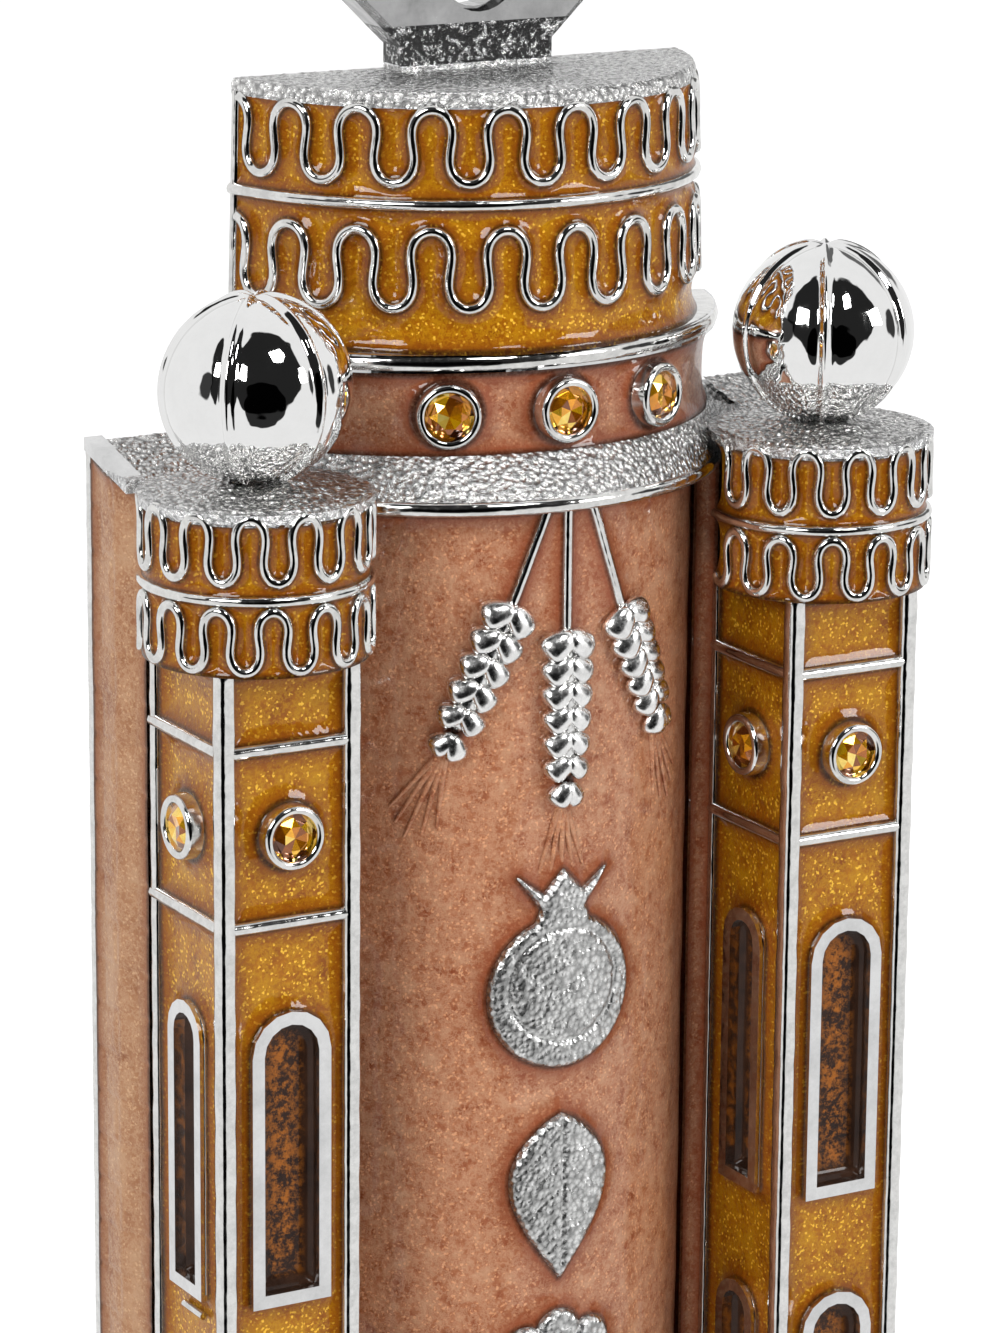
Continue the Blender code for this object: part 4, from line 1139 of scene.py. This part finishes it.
def column():
    """The tall rose-coloured column with wheat, awns and ornaments."""
    face = column_face()
    low, high = box("column_enamel")
    end = asin(high[0] / COLUMN_RADIUS) * face.radius - 0.05
    rib = high[2]
    lines = [(across(-end, end, rib), 0.15)]
    stems = []
    for node, (start, (s, z), lean, pairs, step) in EARS.items():
        top = np.array((s, z + rib - EAR_TOP))
        down = np.array([-sin(radians(lean)), -cos(radians(lean))])
        tip = top + down * (step * pairs - 0.7)
        stem = [(start, rib + 0.1), top]
        stems.append(on(face, stem, 0.22))
        lines += [(stem, 0.18), ([top + down * 0.8, tip], 0.3)]
        wheat_ear(node, top, down, pairs, step)
        awns(node, tip, down, face)
    tubes("wheat_stems", stems, 0.24, SILVER)
    lines += [(ornament(node), 0.05) for node in ORNAMENTS]
    field("column_glass", face, (-end, end), (low[2], rib + 0.1), lines, ROSE, ["column_enamel"],
          step=0.18, low=0.0, rise=0.26, reach=0.5, uneven=0.04)


def column_flanks():
    """Narrow strips of the same enamel between the column and each tower."""
    low, high = box("column_enamel")
    near, far = box("tower_ribs_right")
    for side in (-1, 1):
        hand = hand_of(side)
        face = Flat((0, high[1], 0), (side, 0, 0), (0, -1, 0))
        start = high[0] - 0.25
        end = abs(centre_of("ball_" + hand)[0]) - (far[0] - near[0]) / 2 + 0.25
        lines = [(upright(start, low[2], high[2]), 0.1), (upright(end, low[2], high[2]), 0.1)]
        field("column_flank_" + hand, face, (start, end), (low[2], high[2]), lines, ROSE, step=0.12, low=0.1,
              rise=0.25, reach=0.3, uneven=0.02)


def awns(node, tip, down, face):
    """Fine bristles under an ear, seen through the enamel as low ridges."""
    paths = []
    for index in range(5):
        spread = radians(-18 + 9 * index)
        way = down * cos(spread) + np.array([-down[1], down[0]]) * sin(spread)
        start = tip + down * 0.3 + way * 0.2
        paths.append(on(face, [start, start + way * (4.4 - 0.4 * abs(index - 2))], 0.03))
    tubes("awns_" + node.split("_")[1], paths, 0.2, ROSE, taper=lambda n: np.linspace(1.0, 0.35, n))


# ---- carried-over nodes and stage


def finish_nodes():
    """Better materials on the CAD nodes that stay."""
    looks = {"case_body": case_paint(), "back_cover": cover_paint(), "parchment_scroll": parchment_paint()}
    for name, look in looks.items():
        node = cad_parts[name]
        for index in range(len(node.material_slots)):
            node.material_slots[index].material = look


def stage():
    """Pale floor, the studio world and soft lights."""
    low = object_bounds()[0]
    corners = [(-3000, -3000, 0), (3000, -3000, 0), (3000, 3000, 0), (-3000, 3000, 0)]
    floor = mesh_of(corners, [(0, 1, 2, 3)])
    made = bpy.data.objects.new("floor", floor)
    bpy.context.scene.collection.objects.link(made)
    made.location.z = low.z - 0.0005
    floor.materials.append(floor_paint())
    made.visible_glossy = False
    made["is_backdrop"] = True
    studio()
    lamp("key", (-0.4, -0.26, 0.26), 0.2, 1.8)
    lamp("fill", (0.3, -0.38, 0.16), 0.14, 0.9)
    lamp("top", (0.05, -0.42, 0.46), 0.15, 0.9)
    bpy.context.scene.view_settings.view_transform = "Standard"


def studio():
    """A bright studio with dark cards to mirror in the polished metal, seen as plain white."""
    world = bpy.data.worlds.new("studio")
    graph = Graph(world)
    place = graph.node("TexCoord").outputs["Generated"]
    light = None
    for azimuth, elevation, reach, soft, dark in CARDS:
        a, e = radians(azimuth), radians(elevation)
        way = (sin(a) * cos(e), -cos(a) * cos(e), sin(e))
        dot = graph.node("VectorMath", {0: place, 1: way}, operation="DOT_PRODUCT").outputs["Value"]
        ends = {"Value": dot, "From Min": cos(radians(reach + soft)),
                "From Max": cos(radians(reach)), "To Min": 1.0, "To Max": dark}
        card = graph.node("MapRange", ends, interpolation_type="SMOOTHSTEP").outputs["Result"]
        light = card if light is None else graph.number("MULTIPLY", light, card)
    sky = graph.tree.nodes["Background"]
    graph.feed(sky.inputs["Color"], light)
    graph.feed(sky.inputs["Strength"], 0.95)
    plain = graph.node("Background", {"Color": grey(1.0)})
    seen = graph.node("LightPath").outputs["Is Camera Ray"]
    pick = graph.node("MixShader", {0: seen, 1: sky.outputs[0], 2: plain.outputs[0]})
    graph.feed(graph.tree.nodes["World Output"].inputs["Surface"], pick.outputs[0])
    bpy.context.scene.world = world


def lamp(name, place, size, power):
    data = bpy.data.lights.new(name, "AREA")
    data.size = size
    data.energy = power
    made = bpy.data.objects.new(name, data)
    bpy.context.scene.collection.objects.link(made)
    made.location = place
    made.rotation_mode = "QUATERNION"
    made.rotation_quaternion = (Vector(place) * -1).to_track_quat("-Z", "Y")


def camera():
    """The photograph's view: close, from the left and slightly above."""
    data = bpy.data.cameras.new("camera")
    data.sensor_width = 36
    data.lens = 137.65
    data.clip_start = 0.01
    data.clip_end = 20
    made = bpy.data.objects.new("camera", data)
    bpy.context.scene.collection.objects.link(made)
    band_level = centre_of("setting_tower_left_front")[2] + 4.0
    made.location = Vector((-112.7, -200.8, 58.8 + band_level)) * MM
    turn = Matrix.Rotation(radians(-29.83), 4, "Z") @ Matrix.Rotation(radians(90 - 14.5), 4, "X")
    made.rotation_euler = (turn @ Matrix.Rotation(radians(0.53), 4, "Z")).to_euler()
    bpy.context.scene.camera = made


crown()
band()
stones()
for hand in ("left", "right"):
    ball(hand)
for side in (-1, 1):
    tower(side)
    side_wall(side)
    shoulder(side)
column()
column_flanks()
finish_nodes()
stage()
camera()
